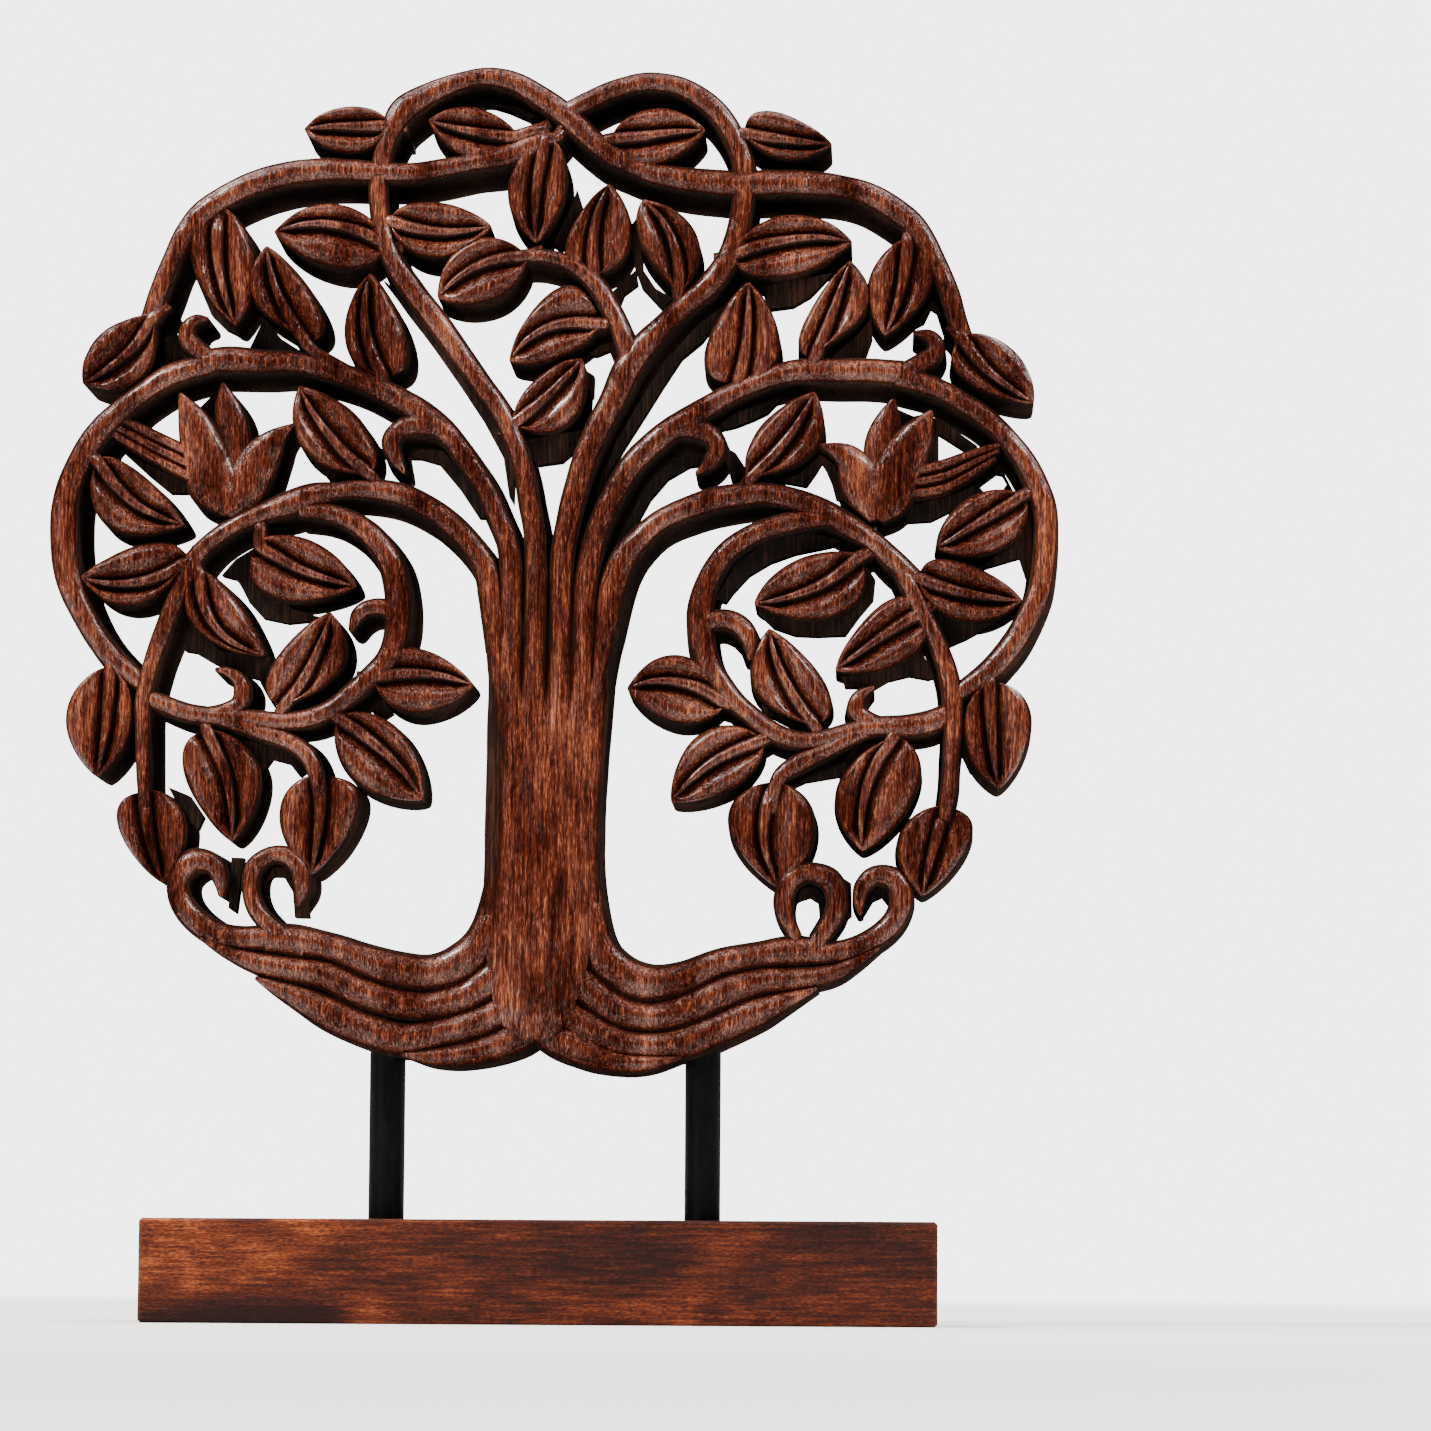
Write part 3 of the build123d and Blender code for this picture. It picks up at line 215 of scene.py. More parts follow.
ROOTS = {
    "root_left_upper": [
        (-13.4, 138, 5), (-13, 121, 8), (-16.5, 107.5, 9.5), (-23, 100.3, 10.5), (-31, 97.4, 9.8),
        (-40, 98, 10), (-50, 101, 9), (-60, 104.5, 8), (-70, 106.3, 9), (-78, 106.5, 8),
    ],
    "root_left_second": [
        (-5.5, 113, 5), (-8, 105.5, 7), (-12.5, 98.5, 9), (-20, 91.8, 9), (-30, 88.4, 8.2),
        (-40, 88.7, 8.3), (-50, 91.6, 9), (-60, 96.2, 8.5), (-70, 98, 7.3), (-80, 99.9, 6),
        (-89, 103.2, 3.2), (-96, 106.8, 0.8),
    ],
    "root_left_third": [
        (-3, 102, 5), (-5, 95, 7), (-9.5, 88.5, 8.6), (-18, 83.7, 8.8), (-30, 80.2, 8.3), (-40, 79, 9.5),
        (-50, 81.6, 9.8), (-60, 86.2, 9.5), (-70, 91, 6), (-80, 95.6, 1),
    ],
    "root_left_lowest": [
        (0, 92, 6), (-4.2, 82.6, 10), (-12, 77.5, 8.8), (-22, 74.5, 6.6), (-31, 73.7, 4.2), (-39, 74.6, 1),
    ],
    "root_right_upper": [
        (12.6, 142, 5), (12.1, 124, 8), (14.6, 107, 10), (21, 98, 11), (30, 94.7, 10.5), (40, 96.5, 9),
        (50, 100.7, 7.6), (60, 102.7, 7), (70, 103.8, 8.5), (78, 103.5, 7),
    ],
    "root_right_second": [
        (3.5, 112, 5), (6, 103.5, 7), (11, 95, 9), (20, 87.7, 9), (30, 85.2, 8.3), (40, 87.5, 9),
        (50, 92, 9.5), (60, 95.3, 8.5), (70, 95.9, 6.5), (80, 97.4, 5.2), (87.5, 100.9, 3),
        (94, 104.8, 0.8),
    ],
    "root_right_third": [
        (1, 101, 5), (3, 93, 7), (9, 85, 8.8), (20, 79, 8.2), (30, 77.4, 7.4), (40, 78.3, 9.4),
        (50, 82.3, 9.6), (60, 86.8, 8.6), (69, 90.4, 4.6), (77, 93.4, 0.8),
    ],
    "root_right_lowest": [
        (-3, 91, 6), (1.2, 81.6, 10.4), (11, 76.2, 9.6), (20, 72.8, 6.4), (30, 72.4, 4.2), (39, 73.9, 1),
    ],
}
CURLS = {
    "root_curl_left_outer": [
        (-70, 106.6, 6.5), (-76, 107, 7), (-84, 106.8, 7), (-91, 107.8, 7.8), (-97.5, 112, 7.5),
        (-101.7, 118, 6.8), (-102, 124, 6.8), (-98, 128.3, 7.5), (-92.8, 127.5, 6), (-90.5, 123.5, 4.8),
        (-90, 119.3, 2.2),
    ],
    "root_curl_left_inner": [
        (-66, 103.5, 6), (-71.5, 106.5, 6), (-76.8, 110.8, 5.6), (-80.5, 115.5, 5.2), (-82, 121, 5),
        (-81, 126.5, 5.4), (-76.5, 130, 5), (-71.5, 129.6, 5.4), (-68.2, 126, 5.4), (-67.4, 121, 4.6),
        (-68.6, 116.5, 2),
    ],
    "root_curl_right_inner": [
        (72, 102, 6), (75.5, 105, 6), (78.6, 109.3, 5.7), (81.1, 113.6, 6.2), (82.1, 118.5, 6.6),
        (79.9, 123.7, 7), (74, 125.8, 6), (69, 123.3, 6.2), (67.2, 118, 6), (67.8, 113, 5), (70, 108.5, 4),
    ],
    "root_curl_right_outer": [
        (70, 103.4, 5), (76, 103, 6), (85, 104.2, 6.5), (92.2, 107.4, 6.6), (98, 112.6, 6.8),
        (100, 118.6, 7.2), (98, 123.8, 7), (92.7, 124.8, 6), (89.2, 121.6, 5), (88.1, 117.5, 3.6),
        (88.3, 114.6, 1.6),
    ],
}

# The trunk's left and right edges: (z, x).
TRUNK_LEFT = [
    (76, -4.2), (78.5, -7), (84, -12), (95, -15), (106, -16), (116, -16.8), (135, -16.8), (165, -16.3),
    (180, -16), (190, -16.8), (199, -18.6), (206, -19.8),
]
TRUNK_RIGHT = [
    (76, -1), (78.5, 2), (84, 7.5), (95, 11.5), (106, 14), (118, 15.7), (130, 15.6), (140, 16), (150, 16.3),
    (160, 16.9), (170, 17.7), (180, 18.5), (190, 20.2), (199, 21.8), (206, 22.8),
]

# Wood between the limbs' feet, where they leave the trunk, set deep, its face painted black as shade.
FORK_SHADE_WEBS = [
    [(-18, 198), (-16.8, 216), (-11, 198)],
    [(-12, 198), (-8.6, 223.5), (-2, 198)],
    [(-3.5, 198), (0.9, 219), (5, 198)],
    [(4, 198), (7, 214), (14.8, 233.5), (13.8, 214), (12, 198)],
    [(11, 198), (19, 217), (20, 198)],
]

# Black slabs set deep in the narrow corners between members, below the carved surface: painted shade in
# those corners.
SHADE_WEB_FACE = -8.0
SHADE_WEB_BACK = -2.0
SHADE_WEBS = {
    "limb_right_high": [
        [(51, 288), (42, 281), (33, 271), (26, 260), (19, 247), (14, 232), (15.6, 234), (19, 241.5),
         (22.8, 248), (27.2, 255.2), (32.3, 263.6), (37.6, 271.6), (43.5, 276.5), (47, 281.5)],
    ],
    "limb_left_high": [
        [(-47.5, 294), (-38, 287), (-29, 275), (-20, 261.5), (-12, 250), (-9.5, 240), (-9.5, 230),
         (-10.8, 232), (-12.6, 243), (-18.6, 254), (-25.6, 264.6), (-32.7, 274.6), (-40, 284.2)],
    ],
    "limb_left_mid": [
        [(-40, 243), (-36, 245.5), (-30, 245), (-22, 237), (-15, 226), (-19.5, 226), (-25, 234.5),
         (-31, 241.5), (-36, 243)],
        [(-86, 272), (-81, 283), (-76, 277), (-69.5, 273)],
    ],
    "limb_right_mid": [
        [(20, 219), (25, 230), (32, 239.5), (38, 244), (46, 244.5), (45, 241.5), (40, 240.8), (34, 237.3),
         (29, 231.3), (24, 222)],
    ],
    "ring_left_upper": [[(-108, 268), (-101.5, 270.5), (-103.5, 273), (-106, 279), (-109, 277)]],
    "leaves_centre": [
        [(-7, 248), (10, 251), (7.5, 245), (4, 242), (-3, 241), (-4.5, 243)],
        [(1, 304), (5, 313), (7.5, 320), (9.5, 314), (8, 306), (3, 302.5)],
        [(22.5, 309), (25.5, 313), (26.5, 297), (30, 291.5), (35, 288.5), (32, 285.5), (26, 292),
         (24, 298)],
        [(17, 290), (24.5, 297), (25, 293), (21, 290), (19.5, 286)],
        [(11, 272.5), (15, 275.5), (20, 276.5), (19, 269), (17, 274), (13.5, 272.5)],
        [(10.5, 268), (12.8, 266.5), (12.6, 260), (11.5, 262)],
    ],
    "leaves_left_middle": [
        [(-92, 209.5), (-88, 214), (-80, 219), (-78, 206), (-72, 200), (-62, 197), (-73, 196), (-80, 197.5),
         (-84, 201.5), (-86.5, 206.5), (-88, 208.5)],
        [(-70.5, 247), (-66, 241.5), (-62, 236.5), (-54, 236), (-60, 244)],
        [(-54, 253), (-50, 249), (-47, 245.5), (-45.5, 243), (-48.5, 243.5)],
    ],
    "leaves_left_lower": [
        [(-102, 188), (-100.5, 196), (-92, 188), (-77, 186), (-76.5, 172), (-79, 176), (-81, 180),
         (-88, 182), (-94, 184.5), (-99, 187.5)],
    ],
    "leaves_left_lowest": [
        [(-92, 164), (-80, 162), (-71, 160), (-66, 155), (-69, 152.5), (-72, 156), (-77, 157.5),
         (-79.5, 154), (-84, 158)],
        [(-106, 149.5), (-100, 147), (-96, 141), (-97.5, 137.5), (-101.5, 141)],
        [(-49, 171), (-46, 174.5), (-43, 170.5), (-46, 168.5)],
    ],
    "leaves_left_upper": [[(-100.5, 294.5), (-96, 284), (-92, 280), (-88, 278), (-91, 284), (-94, 292)]],
    "bird_left": [
        [(-99, 257), (-94, 262.5), (-93, 253), (-96, 250)],
        [(-120, 244), (-104, 236.5), (-99.5, 233), (-107, 233), (-113, 238)],
    ],
    "bird_right": [
        [(96.5, 258), (100, 251), (106, 253), (107.5, 256), (103, 255)],
        [(107, 255), (110.5, 254), (121, 246.5), (118, 245), (110, 250), (110, 241), (107, 241)],
        [(101, 229.5), (112, 232), (121, 235.5), (123, 233), (116, 229.5), (108, 225.5), (101, 225)],
        [(125, 239), (127, 241.5), (132, 232), (127, 232.5), (129.5, 236), (128, 238.5)],
    ],
    "leaves_right_upper": [
        [(91, 283), (86, 277), (79, 271), (79, 267.5), (90, 267.5), (89.5, 272), (91.5, 277.5)],
        [(50.5, 246), (53, 244.5), (56, 240), (55, 236), (52, 235.5), (50, 243)],
        [(46, 250.5), (53, 256), (66, 260.5), (62, 256), (58, 254), (53, 252)],
        [(65, 236.5), (71, 238.5), (77, 244), (81, 241), (84, 231), (81.3, 231.7), (80, 236.2),
         (78.3, 240.2), (77.3, 241.7), (75.8, 239.2), (73, 235.2)],
    ],
    "leaves_right_middle": [
        [(88, 215), (92.5, 208.5), (92, 203), (88, 198.5), (84, 193), (76, 192.6), (70, 192.8), (64, 194.8),
         (60, 198.6), (59.5, 201), (66, 199.5), (76, 200), (84, 203.5), (86, 206)],
        [(47.5, 203), (53, 213), (62, 219.5), (74, 222), (83, 219.5), (80, 218), (70, 216), (63, 213.5),
         (57, 209.7), (52.5, 204.7), (50.5, 202)],
        [(83, 181), (95, 183), (105.5, 188.5), (109, 181), (107.5, 180.5), (102, 181.5), (96, 180),
         (92, 177.5), (90.5, 172), (88, 172), (89.5, 178), (84, 178)],
        [(103, 280.5), (108.5, 288.5), (110.8, 284), (108, 286), (106, 282)],
        [(122, 211.5), (133, 215), (135, 208), (136.5, 214), (136, 228), (131, 218), (126, 215)],
    ],
    "leaves_right_lower": [
        [(107.5, 199), (112.5, 189.5), (118, 192), (126, 196.5), (116, 199)],
        [(59, 179), (61.5, 170.5), (73, 165.5), (66, 170), (61.5, 176)],
        [(116.5, 172), (116, 161), (119, 154.5), (124, 150), (120, 160)],
    ],
    "leaves_right_lowest": [
        [(71, 151), (84, 157), (86, 162.5), (95, 162), (85, 152.5), (82, 148.5), (82.5, 153)],
    ],
    "leaves_crown_right": [[(60, 292), (80, 296), (74, 289.5), (69, 286.5), (62, 285.5)]],
    "leaves_crown_left_inner": [[(-20, 345), (-10, 344), (-3, 340.5), (-6, 340), (-12, 342.8), (-16, 344)]],
    "root_curl_left_inner": [
        [(-88, 129.5), (-84.5, 129.5), (-86.3, 114), (-88.5, 115.5)],
        [(-78, 123), (-76, 127), (-71, 127), (-67, 122), (-66, 113), (-70, 113), (-70.5, 120), (-73, 124.3),
         (-76, 124.3)],
    ],
    "root_curl_right_inner": [
        [(83, 125), (86, 123), (86, 114), (83.5, 112)],
        [(70, 117), (72, 121.5), (76, 122), (79.5, 118), (78.5, 112), (74, 108.5), (77, 113.5),
         (76.8, 117.5), (74.5, 119), (71.5, 118)],
    ],
    "root_curl_right_outer": [
        [(89.5, 114), (91, 121), (95, 122), (98, 118.5), (96, 117), (94.5, 119), (92, 118)],
    ],
}

# Birds, each lobe and feather as a tapering strip: (x, z, width), with the depth of its crest.
BIRDS = {
    "bird_left": [
        (0.0, [(-88.4, 226.5, 5), (-90.6, 230, 11), (-93.6, 234.5, 15.5), (-95.4, 239.5, 15),
         (-97.1, 244.5, 13.6), (-98.9, 249.5, 11.4), (-101, 254.6, 7.6), (-104, 260.5, 0.8)]),
        (0.4, [(-91, 226, 5), (-89, 229.5, 12), (-86, 233.5, 13.8), (-83.4, 238, 13.2),
         (-80.8, 242.6, 11.4), (-77.8, 246.6, 8), (-75, 249.4, 4), (-71.6, 251.8, 0.6)]),
    ],
    "bird_left_rear_wing": [
        (2.6, [(-88.4, 240, 6), (-88.4, 246, 8.8), (-89.4, 252, 9.6), (-90.9, 258, 7.2),
         (-92.3, 264, 0.8)]),
    ],
    "bird_left_tail": [
        (1.4, [(-97, 241.4, 3), (-104, 245.2, 3.5), (-112, 249.2, 3.5), (-121, 253.6, 2.8)]),
        (1.5, [(-97, 238.3, 3), (-104, 241.9, 3.2), (-112, 245.9, 3.3), (-122, 251, 2.6)]),
        (1.4, [(-97, 235, 3), (-104, 238.6, 3.5), (-111, 242.4, 3.5), (-117, 245.6, 3.3),
         (-123, 249.2, 2.8)]),
    ],
    "bird_right": [
        (0.0, [(92.5, 225, 5), (94.6, 229, 12), (97, 234, 14.6), (99, 239.5, 14), (101.6, 245, 12.6),
         (104.6, 250, 9), (108.1, 255.8, 0.8)]),
        (0.5, [(93, 225, 5), (91.4, 229.5, 10), (88.8, 234.5, 12.4), (87, 239, 11.8), (84.4, 242.8, 8),
         (80.6, 244.9, 4), (76.4, 246, 0.6)]),
    ],
    "bird_right_rear_wing": [
        (2.6, [(92.5, 239, 6), (93.8, 245.5, 9.4), (95.2, 250.8, 9.2), (96.4, 255.4, 6),
         (97.6, 259.6, 0.8)]),
    ],
    "bird_right_tail": [
        (1.4, [(98, 238.9, 3), (104, 239, 3.5), (111, 240.6, 3.5), (118, 243.2, 3), (128, 246.5, 2)]),
        (1.5, [(98, 235.8, 3), (104, 235.8, 3.2), (111, 237.2, 3.2), (118, 240.2, 2.8), (127, 244.8, 2)]),
        (1.4, [(98, 232.7, 3), (104, 232.6, 3.5), (111, 233.7, 3.5), (118, 237.1, 3), (126, 242.5, 2)]),
    ],
}

# Leaves: base, tip, the widest point on each side, and a point on the midrib.
LEAVES = {
    "leaves_crown_left_outer": [
        ((-45.5, 337), (-69.7, 336.5), (-56, 343.3), (-57, 329.3), (-58, 337)),
        ((-45, 310), (-16.5, 308.5), (-33, 315.8), (-33, 299.2), (-33, 306.8)),
        ((-1, 334.5), (-3.5, 303.8), (-12, 320), (5, 321), (-3.5, 320)),
    ],
    "leaves_crown_left_inner": [
        ((-9, 334), (-34.5, 339), (-21, 342.8), (-20, 326.2), (-20, 335)),
        ((-46, 303), (-78, 307), (-60, 315), (-60, 296), (-60, 308.5)),
        ((-6, 300), (-31.3, 288), (-23, 304.5), (-15, 287.3), (-19, 297.5)),
    ],
    "leaves_crown_right": [
        ((17.5, 333.5), (43.8, 336.3), (29, 342.6), (28.5, 325.5), (29, 334.5)),
        ((55, 335), (79.7, 332), (62.5, 341.8), (67, 327.5), (66, 333.2)),
        ((51.5, 300), (85.5, 304), (67, 312), (66, 293.5), (66, 304.3)),
    ],
    "leaves_centre": [
        ((15, 280), (-11, 270), (4, 291.7), (3, 270.3), (3, 280.5)),
        ((-9.5, 252), (9.7, 270.5), (-4, 264.5), (7, 252.5), (-0.5, 259.5)),
        ((13, 295), (17, 320.5), (4.4, 303), (23.3, 304.5), (12.5, 306)),
        ((36.5, 288.5), (26.5, 316.2), (25.3, 304.5), (42, 305.5), (36, 301.5)),
        ((53.5, 263.5), (56.3, 292.5), (44, 272), (65.4, 273), (56, 277)),
    ],
    "leaves_left_upper": [
        ((-111.5, 283), (-131.5, 263.3), (-127.5, 277.5), (-115, 264.5), (-119.5, 271.5)),
        ((-93.5, 314), (-88.5, 280), (-102, 301), (-82.7, 299), (-93.5, 297)),
        ((-46.5, 265.5), (-50.5, 295), (-57.7, 276), (-39.4, 274.5), (-51.5, 278)),
    ],
    "leaves_left_middle": [
        ((-68, 275), (-80, 302.8), (-84.5, 288.5), (-64.2, 285), (-75, 285.5)),
        ((-50, 237.5), (-70.2, 262.7), (-69, 244.5), (-52, 252.5), (-61.5, 248.5)),
        ((-127, 241.5), (-102.3, 223.3), (-115, 238.3), (-124, 222.8), (-118, 230.5)),
        ((-81.5, 218), (-53.3, 206), (-66, 219), (-78, 202.5), (-70, 210.8)),
    ],
    "leaves_left_lower": [
        ((-101.5, 212.5), (-131, 208.3), (-112, 218.2), (-116, 200.3), (-115, 206.8)),
        ((-97.5, 210), (-78.8, 186.2), (-86.5, 202), (-99.5, 195), (-94.5, 196.5)),
        ((-48, 180), (-20, 178), (-38, 188.8), (-37, 169.8), (-37, 181.3)),
        ((-63, 152.5), (-65, 124.5), (-74.3, 142.5), (-51.4, 144.5), (-63, 139)),
        ((-122.5, 183), (-125.5, 151.8), (-134.8, 170), (-115.5, 168), (-123, 168)),
    ],
    "leaves_left_lowest": [
        ((-73.5, 171.5), (-60.5, 198.4), (-77.5, 183), (-56.8, 183), (-66.5, 181.5)),
        ((-58, 168.5), (-34, 146), (-41.5, 166), (-53.5, 150.8), (-46.5, 160.5)),
        ((-95, 165), (-87.5, 133.8), (-101.6, 154), (-79.8, 154), (-88.7, 150)),
        ((-112.5, 148), (-106.5, 122), (-119.8, 139), (-100.3, 140), (-111, 137)),
    ],
    "leaves_right_upper": [
        ((75, 270.5), (85, 298.5), (71.2, 279), (90.4, 285.5), (80, 283.5)),
        ((116.5, 277), (136.7, 258.2), (131, 273.6), (117, 264.8), (123.5, 267.5)),
        ((57, 236.5), (75.3, 261), (59.5, 251), (75.5, 244.5), (66.5, 246.5)),
    ],
    "leaves_right_middle": [
        ((101, 305), (95, 277.3), (90.2, 293), (109.7, 295), (99.5, 291.5)),
        ((134, 232), (109.3, 217), (117.5, 231), (129, 217), (122, 224.3)),
        ((88, 214.5), (58.5, 201.3), (70.5, 214), (83, 198), (74, 205)),
        ((106.5, 199.5), (81.3, 182.3), (94, 201.2), (102, 185.7), (94, 191.8)),
    ],
    "leaves_right_lower": [
        ((104.5, 208.5), (133.5, 202.2), (115, 213.8), (116, 196.2), (117, 204.2)),
        ((75.5, 167), (62.7, 194), (58.3, 177), (79, 178), (67.5, 179)),
        ((50.5, 173), (23, 177.3), (38, 186.8), (37, 167.2), (38.5, 178.6)),
        ((64.5, 151), (66, 121.3), (51.3, 140), (76.2, 139), (61.5, 136)),
        ((124.5, 179), (127, 149.3), (116.8, 165), (136.3, 169), (125, 164)),
    ],
    "leaves_right_lowest": [
        ((61, 162.5), (35.6, 145.3), (44, 165), (54, 149.7), (49, 157.5)),
        ((98, 164), (89, 131.8), (81.7, 149.5), (104.8, 149.5), (89.5, 147)),
        ((112, 144.5), (105.5, 119.2), (98.8, 135.5), (119.6, 135.5), (108.5, 131.5)),
    ],
}


# Stalks that bend, or that another member carries all the way to the leaf, keyed by leaf group and number.
STEMS = {
    ("leaves_left_middle", 1): [(-54, 265.5), (-61, 269.5), (-66.5, 273)],
    ("leaves_crown_left_outer", 3): [(4, 338), (1.8, 334)],
    ("leaves_crown_left_inner", 1): [(0, 338), (-4, 336)],
    ("leaves_left_upper", 2): [],
    ("leaves_left_middle", 4): [(-81.5, 227), (-80.6, 222)],
    ("leaves_left_lower", 4): [],
    ("leaves_left_lowest", 4): [],
    ("leaves_right_lower", 4): [],
    ("leaves_right_lowest", 3): [],
}


# --- small formulas
def smoothstep(low, high, value):
    """Eases from 0 at the low value to 1 at the high one; the low one may be the larger."""
    t = min(max((value - low) / (high - low), 0.0), 1.0)
    return t * t * (3 - 2 * t)


def curve_through(points, steps):
    """Catmull-Rom samples through points of any number of components."""
    ends = [points[0]] + list(points) + [points[-1]]
    samples = []
    for index in range(1, len(ends) - 2):
        before, start, finish, after = ends[index - 1 : index + 3]
        for step in range(steps):
            t = step / steps
            sample = []
            for a, b, c, d in zip(before, start, finish, after):
                cubic = (-a + 3 * b - 3 * c + d) * t**3
                square = (2 * a - 5 * b + 4 * c - d) * t**2
                sample.append((2 * b + (c - a) * t + square + cubic) / 2)
            samples.append(tuple(sample))
    samples.append(tuple(points[-1]))
    return samples


def interpolate(table, value):
    """Linear look-up in a list of (key, value) pairs."""
    for (low, first), (high, second) in zip(table, table[1:]):
        if value <= high:
            return first + (second - first) * max(value - low, 0) / (high - low)
    return table[-1][1]


def arch(side, exponent):
    """How far a rounded crest has fallen, from 0 in the middle to 1 at the edge."""
    return 1 - (1 - min(abs(side), 1) ** exponent) ** (1 / exponent)


def sides_of_front(steps):
    """Places across a front, from -1 at one edge to 1 at the other, closer together at the edges."""
    return [-cos(pi * step / steps) for step in range(steps + 1)]


# The rounded edges lie deeper than the crests, so outlines read at the crests stand a little further out.
LOOK_X = 95.0
LOOK_Z = 15.0
OUTWARD = 1.003

# How far the knife strayed sideways and in depth, and how quickly that changes along the surface.
STRAY = 0.28
STRAY_PER_MM = 0.085
KNIFE_DEPTH = 0.3
KNIFE_PER_MM = 0.23
KNIFE_REACH = -8


def hand_carved(x, y, z):
    """Moves a point a little, the same way for every member, so that no edge is machine-straight."""
    x = LOOK_X + (x - LOOK_X) * OUTWARD
    z = LOOK_Z + (z - LOOK_Z) * OUTWARD
    sway = Vector((x * STRAY_PER_MM, 3.1, z * STRAY_PER_MM))
    moved_x = x + STRAY * noise.noise(sway)
    moved_z = z + STRAY * noise.noise(sway + Vector((19, 0, 5)))
    if y < KNIFE_REACH:
        knife = Vector((x * KNIFE_PER_MM, 7.7, z * KNIFE_PER_MM))
        y = max(y + KNIFE_DEPTH * noise.noise(knife) + 0.12, FRONT)
    return Vector((moved_x, y, moved_z)) * MM


# --- mesh builders
skins_made = count()


def skin(mesh, rings):
    """Adds a closed tube of rings to a bmesh. Each skin's back has its own small inset, because overlapping
    members would show black where their backs lie in one plane."""
    inset = BACK_SPREAD * (next(skins_made) * GOLDEN_STEP % 1)
    # Each vertex carries how dark it is: black stain on the walls, and painted shade on rounded edges, in
    # grooves, troughs, flutes and webs.
    stain_and_shade = mesh.verts.layers.float.get("stain_and_shade") or mesh.verts.layers.float.new("stain_and_shade")
    rows = []
    for ring in rings:
        row = []
        for x, y, z, amount in ring:
            if y > BACK - 1:
                y -= inset
            vertex = mesh.verts.new(hand_carved(x, y, z))
            vertex[stain_and_shade] = amount
            row.append(vertex)
        rows.append(row)
    size = len(rows[0])
    for low, high in zip(rows, rows[1:]):
        for index in range(size):
            following = (index + 1) % size
            mesh.faces.new((low[index], low[following], high[following], high[index]))
    mesh.faces.new(rows[0][::-1])
    mesh.faces.new(rows[-1])


def back_corners(x, z, across, high, low, draft=0.4):
    """The four points that close a ring behind its front: sloping walls stained black, which also paints
    the shade they lie in, and a plain brown back.
    """
    draft = min(draft, 0.3 * (high - low))
    high += draft
    low -= draft
    wall_end = BACK - BACK_BEVEL
    corners = []
    for offset, y, amount in (
        (low, wall_end, 1.0),
        (low * BACK_SHARE, BACK, 0.25),
        (high * BACK_SHARE, BACK, 0.25),
        (high, wall_end, 1.0),
    ):
        corners.append((x + across[0] * offset, y, z + across[1] * offset, amount))
    return corners


def section(x, z, across, half, heights, draft):
    """One ring of a member: its front profile from left to right, then its four back corners."""
    ring = []
    for side, y, amount in heights:
        ring.append((x + across[0] * side * half, y, z + across[1] * side * half, amount))
    return ring + back_corners(x, z, across, half, -half, draft)


def rounded_end(samples):
    """Further samples that round a strip off beyond its last point."""
    (x0, z0, _), (x1, z1, width) = samples[-2:]
    length = hypot(x1 - x0, z1 - z0)
    further = []
    for angle in (30, 60, 82):
        reach = width / 2 * sin(radians(angle))
        x = x1 + (x1 - x0) / length * reach
        z = z1 + (z1 - z0) / length * reach
        further.append((x, z, width * cos(radians(angle))))
    return further


# A strip sinks over its last END_RUN mm, and its edges lie at most DEEPEST_EDGE below its crest.
END_RUN = 8
DEEPEST_EDGE = 4.6
THINNEST_END = 0.3


def strip_rings(
    points, crest=0.0, sink_start=0.0, run=14, sink_end=0.0, exponent=1.9, steps=7, fall=1.0,
    dark_from=0.5, round_end=False, draft=0.8,
):
    """Rings of a ribbon-like member with a rounded front. Its crest can start or end below the surface."""
    samples = curve_through(points, steps)
    if round_end:
        samples += rounded_end(samples)
    last = len(samples) - 1
    travel = [0.0]
    for (x0, z0, _), (x1, z1, _) in zip(samples, samples[1:]):
        travel.append(travel[-1] + hypot(x1 - x0, z1 - z0))
    rings = []
    for index, (x, z, width) in enumerate(samples):
        x0, z0, _ = samples[max(index - 1, 0)]
        x1, z1, _ = samples[min(index + 1, last)]
        length = hypot(x1 - x0, z1 - z0)
        across = (-(z1 - z0) / length, (x1 - x0) / length)
        half = max(width, THINNEST_END) / 2
        sunk = crest
        sunk += sink_start * (1 - smoothstep(0, run, travel[index]))
        sunk += sink_end * smoothstep(travel[-1] - END_RUN, travel[-1], travel[index])
        drop = min(fall * half, DEEPEST_EDGE)
        # Painted shade: the front darkens from dark_from out to its rounded edges, and the end rings are
        # painted black.
        capped = 1.0 if index in (0, last) else 0.0
        heights = []
        for side in sides_of_front(20):
            stain_and_shade = max(capped, smoothstep(dark_from, 1.0, abs(side)))
            heights.append((-side, FRONT + sunk + drop * arch(side, exponent), stain_and_shade))
        rings.append(section(x, z, across, half, heights, draft))
    return rings


def slab(outline, face, back, back_stain_and_shade=1.0):
    """The two rings of a flat web between members; its face is painted black, a painted shade."""
    return [[(x, face, z, 1.0) for x, z in outline], [(x, back, z, back_stain_and_shade) for x, z in outline]]


# A leaf's front. Each lobe is highest at LOBE_TOP of the way from its edge to the midrib's trough.
LOBE_SHARES = (0.0, 0.015, 0.05, 0.11, 0.19, 0.29, 0.4, 0.52, 0.64, 0.76, 0.88, 1.0)
LOBE_TOP = 0.46
LOBE_DEPTH = 4.2
LIP_DEPTH = 2.6
TROUGH_DEPTH = 4.8
LEAF_STEPS = 40
LEAF_TIP_POWER = 0.8


def leaf_frame(base, tip):
    """A leaf's length, and the directions along and across it."""
    length = hypot(tip[0] - base[0], tip[1] - base[1])
    along = ((tip[0] - base[0]) / length, (tip[1] - base[1]) / length)
    return length, along, (-along[1], along[0])


